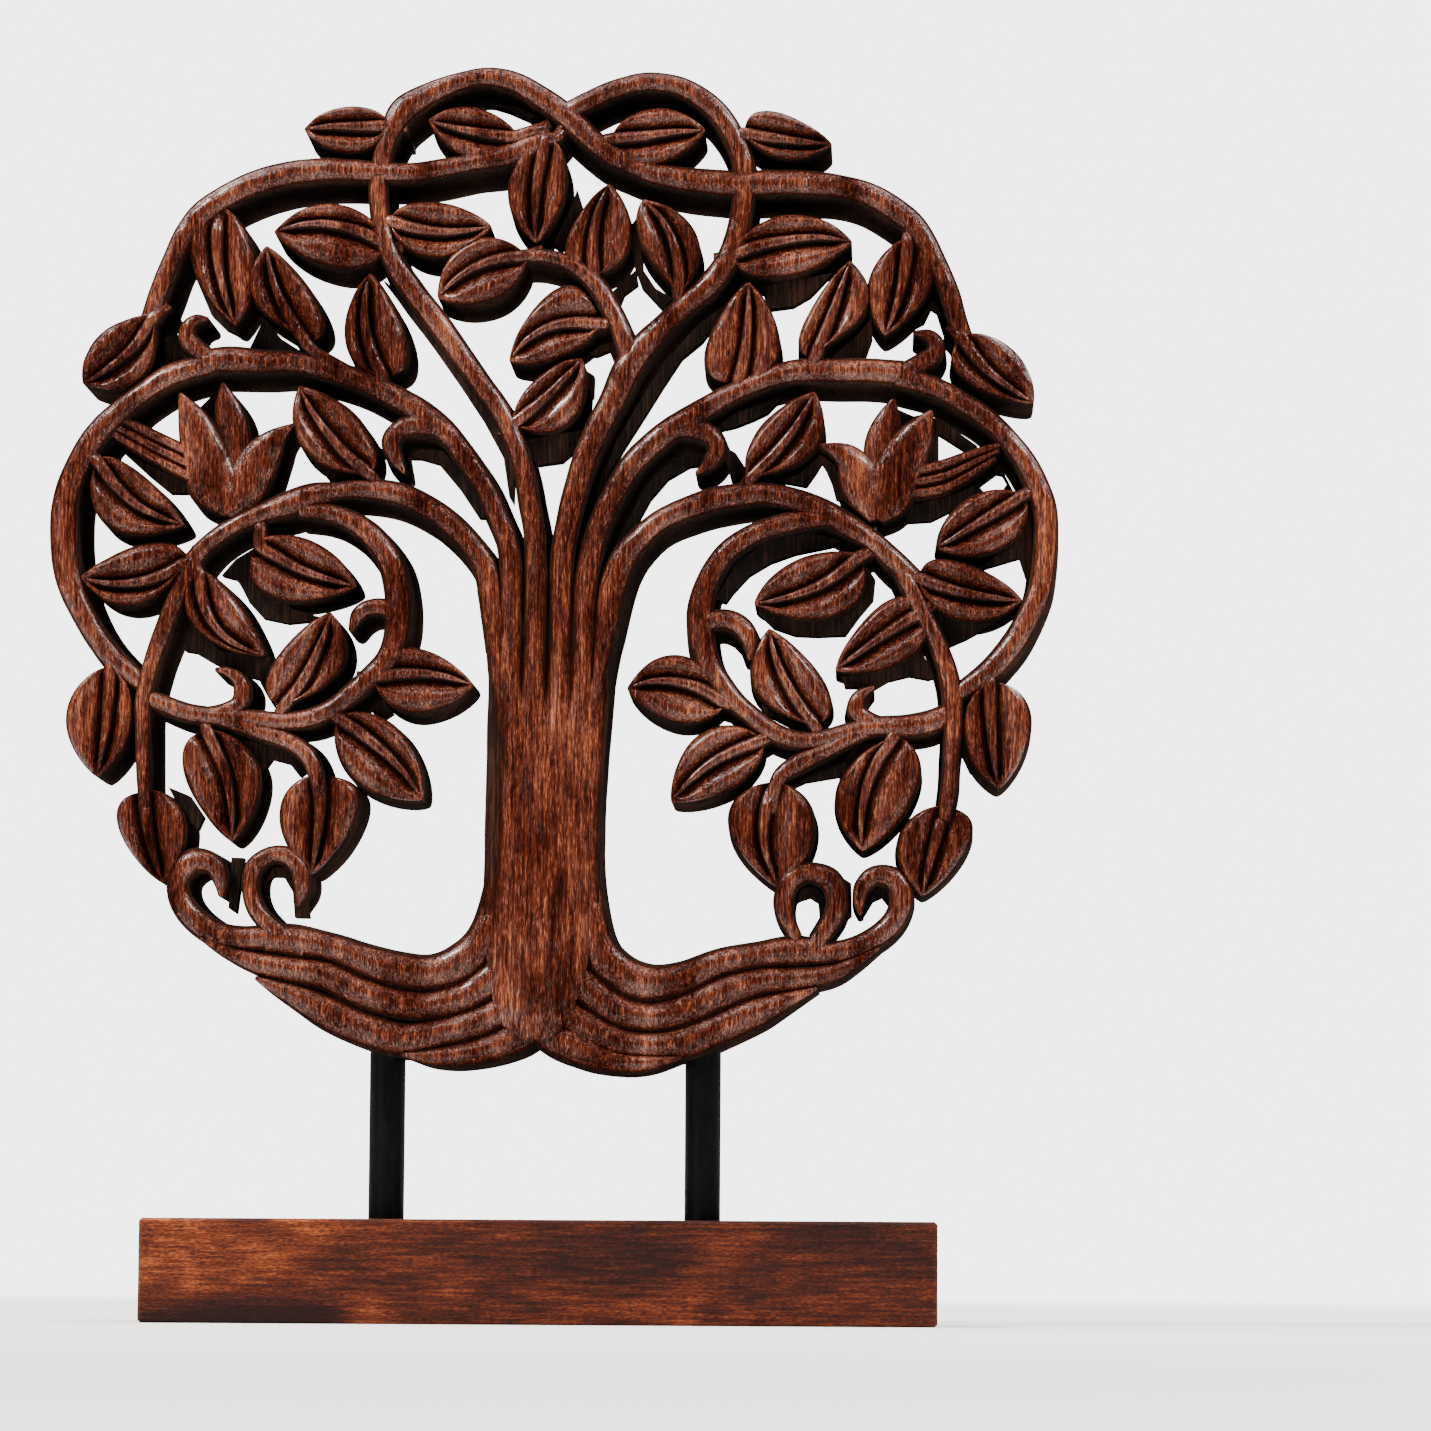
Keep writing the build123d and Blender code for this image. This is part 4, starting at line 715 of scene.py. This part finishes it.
def leaf_half_width(base, tip, side, t):
    """Signed distance from a leaf's axis to one of its edges."""
    length, along, across = leaf_frame(base, tip)
    reach = (side[0] - base[0]) * along[0] + (side[1] - base[1]) * along[1]
    swell = (side[0] - base[0]) * across[0] + (side[1] - base[1]) * across[1]
    widest = min(max(reach / length, 0.25), 0.7)
    base_power = LEAF_TIP_POWER * widest / (1 - widest)
    peak = widest**base_power * (1 - widest) ** LEAF_TIP_POWER
    return swell * t**base_power * (1 - t) ** LEAF_TIP_POWER / peak


def lobe_profile(edge, middle, lip, open_trough):
    """Half of a leaf's front, from its edge over its lobe to the trough, as (offset, depth, stain and
    painted shade).
    """
    reach = abs(edge - middle)
    lip = min(lip, 0.5 * reach)
    drop = min(0.55 * reach, LOBE_DEPTH)
    turn = 1 if edge > middle else -1
    half = []
    for share in LOBE_SHARES:
        if share < LOBE_TOP:
            fallen = drop * arch((LOBE_TOP - share) / LOBE_TOP, 1.8)
            # Painted shade on the lobe's outer edge.
            amount = smoothstep(0.2, 0.0, share)
        else:
            fallen = LIP_DEPTH * open_trough * ((share - LOBE_TOP) / (1 - LOBE_TOP)) ** 1.6
            # Painted shade where the lobe falls into the trough.
            amount = 0.6 * open_trough * smoothstep(0.8, 1.0, share)
        half.append((edge - turn * (reach - lip) * share, fallen, amount))
    for share in (0.35, 0.7):
        cut = LIP_DEPTH + (TROUGH_DEPTH - LIP_DEPTH) * share**0.8
        # Painted shade, near black, in the trough.
        amount = open_trough * (0.75 + 0.25 * share)
        half.append((middle + turn * lip * (1 - share), cut * open_trough, amount))
    return half


def leaf_rings(base, tip, side_a, side_b, rib):
    """Rings of a leaf: two crowned lobes with a trough between them for the midrib."""
    length, along, across = leaf_frame(base, tip)
    bow = (rib[0] - base[0]) * across[0] + (rib[1] - base[1]) * across[1]
    rings = []
    for step in range(LEAF_STEPS + 1):
        t = (1 - cos(pi * (0.004 + 0.992 * step / LEAF_STEPS))) / 2
        edge_a = leaf_half_width(base, tip, side_a, t)
        edge_b = leaf_half_width(base, tip, side_b, t)
        low, high = min(edge_a, edge_b), max(edge_a, edge_b)
        middle = min(max(4 * t * (1 - t) * bow, low * 0.6), high * 0.6)
        open_trough = 1 - smoothstep(0.82, 0.97, t)
        lip = 0.4 + (1.2 + 1.3 * (1 - t)) * open_trough
        base_end = 2.6 * arch(max(0.11 - t, 0) / 0.11, 2)
        tip_end = 2.0 * smoothstep(0.78, 1.0, t) ** 1.5
        line = lobe_profile(high, middle, lip, open_trough)
        # The trough's floor is painted black as shade.
        line.append((middle, TROUGH_DEPTH * open_trough, open_trough))
        line += lobe_profile(low, middle, lip, open_trough)[::-1]
        x = base[0] + along[0] * length * t
        z = base[1] + along[1] * length * t
        ring = []
        for offset, fallen, amount in line:
            y = FRONT + 0.15 + fallen + base_end + tip_end
            ring.append((x + across[0] * offset, y, z + across[1] * offset, amount))
        rings.append(ring + back_corners(x, z, across, high, low))
    return rings


MIDRIB_WIDTHS = ((0.05, 3.9), (0.2, 3.6), (0.38, 3.1), (0.56, 2.5), (0.74, 1.8), (0.88, 1.1), (0.96, 0.4))
STALK_WIDTH = 3.6


def midrib_points(leaf, stem):
    """The stalk and midrib of a leaf as a tapering strip, from inside its branch to near its tip."""
    base, tip, _, _, rib = leaf
    length, along, across = leaf_frame(base, tip)
    bow = (rib[0] - base[0]) * across[0] + (rib[1] - base[1]) * across[1]
    if stem is None:
        stem = [(base[0] - along[0] * back, base[1] - along[1] * back) for back in (5.0, 1.8)]
    points = [(x, z, STALK_WIDTH) for x, z in stem]
    for t, width in MIDRIB_WIDTHS:
        offset = 4 * t * (1 - t) * bow
        x = base[0] + along[0] * length * t + across[0] * offset
        z = base[1] + along[1] * length * t + across[1] * offset
        points.append((x, z, width))
    return points


def finish_piece(name, mesh, nodes, material):
    """Turns a bmesh into a named piece that stands for its CAD nodes."""
    bmesh.ops.recalc_face_normals(mesh, faces=mesh.faces)
    data = bpy.data.meshes.new(name)
    mesh.to_mesh(data)
    mesh.free()
    data.shade_smooth()
    data.set_sharp_from_angle(angle=radians(SHARP_ANGLE))
    data.materials.append(material)
    piece = bpy.data.objects.new(name, data)
    bpy.context.scene.collection.objects.link(piece)
    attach(piece, "root")
    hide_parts(*nodes)


# --- shader builders
class Signal:
    """A value inside a shader. Adding, subtracting and multiplying signals makes the math nodes."""

    def __init__(self, tree, socket):
        self.tree = tree
        self.socket = socket

    def combine(self, operation, first, second):
        return signal(self.tree, "ShaderNodeMath", {0: first, 1: second}, operation=operation)

    def __add__(self, other):
        return self.combine("ADD", self, other)

    def __sub__(self, other):
        return self.combine("SUBTRACT", self, other)

    def __rsub__(self, other):
        return self.combine("SUBTRACT", other, self)

    def __mul__(self, other):
        return self.combine("MULTIPLY", self, other)


def connect(made, inputs):
    """Links a node's inputs to signals, or sets them to plain values."""
    for key, value in inputs.items():
        if isinstance(value, Signal):
            value.tree.links.new(value.socket, made.inputs[key])
        else:
            made.inputs[key].default_value = value


def signal(tree, kind, inputs=None, output=0, **settings):
    """Makes a node with its settings and inputs, and gives the signal at one of its outputs."""
    made = tree.nodes.new(kind)
    for key, value in settings.items():
        setattr(made, key, value)
    connect(made, inputs or {})
    return Signal(tree, made.outputs[output])


def object_place(tree):
    return signal(tree, "ShaderNodeTexCoord", output="Object")


def ramp(factor, stops):
    """A colour ramp from (position, colour) pairs."""
    colour = signal(factor.tree, "ShaderNodeValToRGB", {0: factor})
    elements = colour.socket.node.color_ramp.elements
    while len(elements) < len(stops):
        elements.new(0.5)
    for element, (position, shade) in zip(elements, stops):
        element.position = position
        element.color = (*shade, 1)
    return colour


def spread(value, low, high):
    """Eases a value from low..high to 0..1."""
    inputs = {0: value, 1: low, 2: high, 3: 0.0, 4: 1.0}
    return signal(value.tree, "ShaderNodeMapRange", inputs, clamp=True, interpolation_type="SMOOTHSTEP")


def between(value, low, high):
    """Maps the usual range of a noise to low..high."""
    return signal(value.tree, "ShaderNodeMapRange", {0: value, 1: 0.3, 2: 0.7, 3: low, 4: high})


def mix_colour(factor, first, second):
    """Mixes two colours, each a signal or a plain colour."""
    inputs = {0: factor}
    for index, colour in ((6, first), (7, second)):
        inputs[index] = colour if isinstance(colour, Signal) else (*colour, 1)
    return signal(factor.tree, "ShaderNodeMix", inputs, output=2, data_type="RGBA", blend_type="MIX")


def stretched(tree, scales, offset=(0, 0, 0)):
    """Object coordinates scaled by a different amount on each axis, for grain that runs one way."""
    inputs = {"Vector": object_place(tree), "Scale": scales, "Location": offset}
    return signal(tree, "ShaderNodeMapping", inputs)


def wave_noise(tree, scales, detail=4.0, roughness=0.55, offset=(0, 0, 0), distortion=0.0):
    inputs = {"Vector": stretched(tree, scales, offset), "Scale": 1.0, "Detail": detail}
    inputs |= {"Roughness": roughness, "Distortion": distortion}
    return signal(tree, "ShaderNodeTexNoise", inputs)


def bump(height, strength, distance):
    inputs = {"Strength": strength, "Distance": distance, "Height": height}
    return signal(height.tree, "ShaderNodeBump", inputs)


def new_material(name):
    material = bpy.data.materials.new(name)
    material.use_nodes = True
    tree = material.node_tree
    return material, tree, tree.nodes["Principled BSDF"]


# --- materials
def carved_wood():
    """Dark red-brown hardwood: upright grain, pores, knife marks, black stain in the cuts, painted shade on
    rounded edges and in crevices, and a lacquer sheen.
    """
    material, tree, shader = new_material("carved_wood")
    grain = wave_noise(tree, (1250, 1250, 62), detail=6, roughness=0.72, distortion=0.25)
    fine = wave_noise(tree, (3200, 3200, 420), detail=3, roughness=0.65)
    patches = wave_noise(tree, (62, 62, 20), detail=5, roughness=0.65)
    dots = wave_noise(tree, (2900, 2900, 300), detail=2, roughness=0.5, offset=(3, 1, 2))
    pores = spread(dots, 0.53, 0.64)
    tone = grain * 0.68 + patches * 0.45 - 0.058 + (fine - 0.5) * 0.42
    tones = [
        (0.36, (0.0055, 0.0012, 0.0009)),
        (0.46, (0.0260, 0.0042, 0.0020)),
        (0.56, (0.0830, 0.0160, 0.0066)),
        (0.68, (0.2900, 0.0850, 0.0320)),
    ]
    colour = mix_colour(pores * 0.7, ramp(tone, tones), (0.0075, 0.0020, 0.0014))
    # Black stain on the walls, and painted shade on edges, troughs, flutes and webs.
    stain_and_shade = signal(tree, "ShaderNodeAttribute", output="Fac", attribute_name="stain_and_shade")
    ragged = stain_and_shade + (grain - 0.5) * 0.5
    # Painted shade: the wood darkens towards rounded edges and into crevices.
    shade = spread(ragged, 0.15, 0.70) * 0.8
    # Near black on walls, ends, troughs and webs: partly black stain, partly painted shade.
    black = spread(ragged, 0.68, 0.92)
    colour = mix_colour(shade, colour, (0.010, 0.0030, 0.0020))
    streaks = spread(grain * 0.6 + patches * 0.4, 0.46, 0.62)
    # The near-black colour of the walls and of the painted shade in crevices.
    cut = mix_colour(streaks, (0.0080, 0.0066, 0.0062), (0.0360, 0.0170, 0.0115))
    lacquer = 1.0 - spread(stain_and_shade, 0.22, 0.62)
    broken = lacquer * spread(fine + patches, 0.86, 1.18)
    facets = {"Vector": stretched(tree, (300, 300, 170)), "Scale": 1.0}
    knife = signal(tree, "ShaderNodeTexVoronoi", facets, feature="SMOOTH_F1")
    height = knife * 0.7 + grain * 0.9 - pores * 0.35 + fine * 0.45
    looks = {
        "Base Color": mix_colour(black, colour, cut),
        "Roughness": between(fine, 0.16, 0.30) + black * 0.45,
        "Specular IOR Level": broken * 0.30,
        "Coat Weight": broken * 0.22,
        "Coat Roughness": 0.10,
        "Normal": bump(height, 0.6, 0.00028),
    }
    connect(shader, looks)
    return material


def base_wood():
    """The base board: grain along it, orange with short pores on the left, darker blotches on the right."""
    material, tree, shader = new_material("base_wood")
    axes = signal(tree, "ShaderNodeSeparateXYZ", {0: object_place(tree)}).socket.node
    along = Signal(tree, axes.outputs["X"])
    upward = Signal(tree, axes.outputs["Z"])
    grain = wave_noise(tree, (60, 700, 900), detail=6, roughness=0.62, distortion=0.4)
    blotch = wave_noise(tree, (24, 24, 60), detail=4, roughness=0.55, distortion=0.7, offset=(0.7, 0, 0.3))
    fine = wave_noise(tree, (700, 2400, 2400), detail=3)
    dots = wave_noise(tree, (330, 1700, 1700), detail=2, roughness=0.5, offset=(1, 2, 3))
    pores = spread(dots, 0.57, 0.66)
    rightward = spread(along, -0.092, 0.005)
    low_streak = spread(upward, 0.010, 0.002) * spread(along, -0.045, -0.06)
    tone = grain * 0.5 + blotch * 0.5 + (fine - 0.5) * 0.4 + 0.05 - rightward * 0.10 - low_streak * 0.16
    tones = [
        (0.36, (0.010, 0.0020, 0.0012)),
        (0.46, (0.036, 0.0058, 0.0022)),
        (0.56, (0.100, 0.0190, 0.0052)),
        (0.68, (0.270, 0.0680, 0.0170)),
    ]
    looks = {
        "Base Color": mix_colour(pores * 0.8, ramp(tone, tones), (0.012, 0.0038, 0.0022)),
        "Roughness": between(fine, 0.42, 0.6),
        "Specular IOR Level": 0.12,
        "Normal": bump(fine * 0.5 - pores * 0.6, 0.4, 0.0004),
    }
    connect(shader, looks)
    return material


def black_steel():
    """Satin black painted rod with faint brush marks."""
    material, tree, shader = new_material("black_steel")
    mottle = wave_noise(tree, (900, 900, 160), detail=4)
    looks = {
        "Base Color": ramp(mottle, [(0.35, (0.0011, 0.0015, 0.0019)), (0.65, (0.0024, 0.0032, 0.0038))]),
        "Roughness": between(mottle, 0.30, 0.44),
        "Specular IOR Level": 0.06,
        "Normal": bump(mottle, 0.2, 0.0002),
    }
    connect(shader, looks)
    return material


def fixing_steel():
    """Zinc-plated screws and washers with a mottled sheen."""
    material, tree, shader = new_material("fixing_steel")
    mottle = wave_noise(tree, (700, 700, 700), detail=4)
    looks = {
        "Base Color": ramp(mottle, [(0.35, (0.42, 0.42, 0.40)), (0.65, (0.60, 0.60, 0.58))]),
        "Metallic": 1.0,
        "Roughness": between(mottle, 0.3, 0.5),
    }
    connect(shader, looks)
    return material


STUDIO_BRIGHTNESS = 4.9
STUDIO_COLOUR = (0.90, 0.90, 0.90, 1)
FLOOR_COLOUR = (0.76, 0.745, 0.72)


def pale_floor():
    """Plain matt floor that fades, far from the object, into the pale studio behind."""
    material, tree, shader = new_material("floor_matt")
    mottle = wave_noise(tree, (9, 9, 9), detail=3)
    darker = tuple(part * 0.985 for part in FLOOR_COLOUR)
    connect(shader, {"Base Color": ramp(mottle, [(0.3, darker), (0.7, FLOOR_COLOUR)]), "Roughness": 0.6})
    place = object_place(tree)
    distance = signal(tree, "ShaderNodeVectorMath", {0: place}, output="Value", operation="LENGTH")
    in_view = signal(tree, "ShaderNodeLightPath", output="Is Camera Ray")
    glow = signal(tree, "ShaderNodeEmission", {"Color": STUDIO_COLOUR, "Strength": STUDIO_BRIGHTNESS})
    either = {0: spread(distance, 0.45, 1.7) * in_view, 1: Signal(tree, shader.outputs[0]), 2: glow}
    connect(tree.nodes["Material Output"], {"Surface": signal(tree, "ShaderNodeMixShader", either)})
    return material


# --- limbs, branches, twigs and buds
carved = carved_wood()


def carve(name, node_name, *skins):
    """Makes one piece of carved wood from closed skins. It stands for a CAD node."""
    mesh = bmesh.new()
    for rings in skins:
        skin(mesh, rings)
    finish_piece(name, mesh, [node_name], carved)


for name, points in LIMBS.items():
    carve("carved_" + name, name, strip_rings(points, sink_start=0.9, run=10))
for name, points in BRANCHES.items():
    carve("carved_" + name, name, strip_rings(points, sink_start=0.9, run=8, sink_end=0.9))
for name, points in LOW_TWIGS.items():
    carve("carved_" + name, "low_twigs", strip_rings(points, sink_start=0.9, run=8, sink_end=2.0))
for node_name, group in (("buds_left", BUDS_LEFT), ("buds_right", BUDS_RIGHT)):
    for name, points in group.items():
        carve("carved_" + name, node_name, strip_rings(points, crest=0.3, sink_end=0.8, round_end=True))


# --- roots
def root_rings(name, points):
    """Rings of a root strand. It rises out of the trunk's foot, and the upper strands start deeper."""
    wide = [(x, z, width + 0.6 * smoothstep(0, 5, width)) for x, z, width in points]
    sink, run = (6.5, 32) if "upper" in name else (5.0, 23)
    return strip_rings(wide, sink_start=sink, run=run, sink_end=0.6, exponent=1.8, fall=1.05, draft=0.0)


for name, points in ROOTS.items():
    carve("carved_" + name, name, root_rings(name, points))
for name, points in CURLS.items():
    rings = strip_rings(points, sink_start=0.8, sink_end=1.0, round_end=True, draft=0.2)
    carve("carved_" + name, name, rings)

# --- trunk
TRUNK_FOOT = 79.0
TRUNK_TOP = 206
TRUNK_STEP = 1.3
FORK_SHADE_WEB_FACE = -9.6


def limb_foot(name, z):
    """Centre and half width of a limb where it runs up the trunk at a height."""
    (x0, z0, w0), _, (x1, z1, w1) = LIMBS[name][:3]
    share = (z - z0) / (z1 - z0)
    return x0 + (x1 - x0) * share, (w0 + (w1 - w0) * share) / 2


def trunk_heights(z, middle, half):
    """The trunk's front at a height: smooth below, and divided into the feet of the limbs at the top, with
    painted shade at its edges, on its left side and in the flutes.
    """
    drop = 1.0 + 4.0 * smoothstep(104, 142, z)
    fluting = smoothstep(158, 194, z)
    feet = [limb_foot(name, z) for name in LIMBS]
    heights = []
    for side in sides_of_front(84):
        x = middle + side * half
        smooth = 0.2 + drop * arch(side, 2.6) + 0.35 * noise.noise(Vector((0.32 * x, 1.3, 0.02 * z)))
        share = min(abs(x - foot) / (reach * 1.06) for foot, reach in feet)
        fluted = 4.2 * arch(share, 1.8) + 0.8 * smoothstep(197, TRUNK_TOP, z)
        fallen = smooth * (1 - fluting) + fluted * fluting
        # Painted shade darkens the trunk's rounded edges and its left side, and the flutes between the
        # limbs' feet.
        left_shade = 0.82 * smoothstep(0.52, 0.8, -side)
        edge = max(smoothstep(0.86, 1.0, abs(side)), left_shade) * smoothstep(96, 130, z)
        stain_and_shade = edge * (1 - fluting) + smoothstep(0.45, 0.9, share) * fluting
        heights.append((-side, FRONT + fallen + 1.0 * smoothstep(90, 78, z), stain_and_shade))
    return heights


def trunk_rings():
    """Rings of the trunk, from its foot to where the limbs part."""
    rings = []
    z = TRUNK_FOOT
    while z <= TRUNK_TOP:
        left = interpolate(TRUNK_LEFT, z)
        right = interpolate(TRUNK_RIGHT, z)
        middle = (left + right) / 2
        half = (right - left) / 2
        rings.append(section(middle, z, (-1, 0), half, trunk_heights(z, middle, half), 0.0))
        z += TRUNK_STEP
    return rings


# Deep slabs between the limbs' feet, painted black as shade.
fork_shade_webs = [slab(outline, FORK_SHADE_WEB_FACE, BACK, 0.4) for outline in FORK_SHADE_WEBS]
carve("carved_trunk", "trunk", trunk_rings(), *fork_shade_webs)

# --- birds, leaves and shade webs
for name, lobes in BIRDS.items():
    # Tail feathers darken from further in: painted shade in the grooves between them.
    fall, dark_from = (2.3, 0.35) if "tail" in name else (0.68, 0.75)
    skins = []
    for crest, points in lobes:
        shape = {"fall": fall, "dark_from": dark_from, "draft": 0.4}
        skins.append(strip_rings(points, crest=crest, sink_end=0.6, exponent=2.0, **shape))
    carve("carved_" + name, name, *skins)
for node_name, group in LEAVES.items():
    for number, leaf in enumerate(group, 1):
        ridge = midrib_points(leaf, STEMS.get((node_name, number)))
        ends = {"sink_start": 2.0, "run": 6, "sink_end": 1.2}
        midrib = strip_rings(ridge, crest=0.1, steps=5, dark_from=0.62, **ends)
        carve(f"carved_{node_name}_{number}", node_name, leaf_rings(*leaf), midrib)
# Black slabs that paint the shade in narrow corners between members.
for name, outlines in SHADE_WEBS.items():
    carve("shade_web_" + name, name, *[slab(outline, SHADE_WEB_FACE, SHADE_WEB_BACK) for outline in outlines])

# --- CAD nodes that keep their shape
for names, material in (
    (["base_block"], base_wood()),
    (["rod_left", "rod_right"], black_steel()),
    (["rod_screws", "rod_washers"], fixing_steel()),
):
    for name in names:
        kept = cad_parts[name]
        if not kept.material_slots:
            kept.data.materials.append(material)
        for held in kept.material_slots:
            held.material = material


# --- stage, light and camera
def stage_disc(name, radius, height, material):
    """A round floor, centred under the object, so that it looks the same from every side."""
    corners = 96
    rim = []
    for index in range(corners):
        angle = 2 * pi * index / corners
        rim.append((radius * cos(angle), radius * sin(angle), height))
    data = bpy.data.meshes.new(name)
    data.from_pydata(rim, [], [tuple(range(corners))])
    data.materials.append(material)
    made = bpy.data.objects.new(name, data)
    bpy.context.scene.collection.objects.link(made)


def area_light(name, place, target, size, power, colour=(1, 1, 1)):
    data = bpy.data.lights.new(name, "AREA")
    data.size = size
    data.energy = power
    data.color = colour
    lamp = bpy.data.objects.new(name, data)
    lamp.location = place
    lamp.rotation_euler = (Vector(target) - Vector(place)).to_track_quat("-Z", "Y").to_euler()
    bpy.context.scene.collection.objects.link(lamp)


stage_disc("floor", 2.4, cad_box[0][2], pale_floor())
area_light("key", (-0.75, -0.50, 1.15), (0, 0, 0.2), 0.28, 42, (1.0, 0.97, 0.93))
area_light("second", (0.85, -0.55, 1.0), (0, 0, 0.2), 0.28, 20, (1.0, 0.98, 0.96))
area_light("front", (-1.3, -1.5, 0.5), (0, 0, 0.15), 0.5, 5, (1.0, 0.98, 0.96))
area_light("overhead", (0, 0.15, 1.6), (0, 0.0, 0), 1.2, 12)
area_light("far_left", (-1.0, 0.25, 1.5), (-0.4, 1.2, 0.45), 1.0, 56)
area_light("far_right", (1.0, 0.25, 1.5), (0.4, 1.2, 0.45), 1.0, 46)
area_light("back", (0.7, 1.3, 1.1), (0, 0, 0.2), 0.7, 16, (0.98, 0.99, 1.0))

# The studio behind is plain and pale to the camera, and gives the object a faint even light from all sides.
world = bpy.data.worlds.new("studio")
world.use_nodes = True
studio = world.node_tree
faint = studio.nodes["Background"]
connect(faint, {"Color": (0.90, 0.92, 0.95, 1), "Strength": 0.16})
pale = signal(studio, "ShaderNodeBackground", {"Color": STUDIO_COLOUR, "Strength": STUDIO_BRIGHTNESS})
in_view = signal(studio, "ShaderNodeLightPath", output="Is Camera Ray")
either = {0: in_view, 1: Signal(studio, faint.outputs[0]), 2: pale}
connect(studio.nodes["World Output"], {"Surface": signal(studio, "ShaderNodeMixShader", either)})
bpy.context.scene.world = world

# The camera stands low and to the right, and looks up and across at the carving.
CAMERA_PLACE = (0.095, -1.515, 0.015)
PAN = radians(1.804)
TILT = radians(5.890)
ROLL = radians(0.3405)
forward = Vector((-sin(PAN) * cos(TILT), cos(PAN) * cos(TILT), sin(TILT)))
level = Vector((cos(PAN), sin(PAN), 0))
upright = level.cross(forward)
right = level * cos(ROLL) + upright * sin(ROLL)
up = upright * cos(ROLL) - level * sin(ROLL)
camera_data = bpy.data.cameras.new("camera")
camera_data.lens = 135.52
camera_data.sensor_width = 36
camera_data.clip_start = 0.01
camera_data.clip_end = 20
camera = bpy.data.objects.new("camera", camera_data)
turn = Matrix((right, up, -forward)).transposed().to_4x4()
camera.matrix_world = Matrix.Translation(CAMERA_PLACE) @ turn
bpy.context.scene.collection.objects.link(camera)
bpy.context.scene.camera = camera
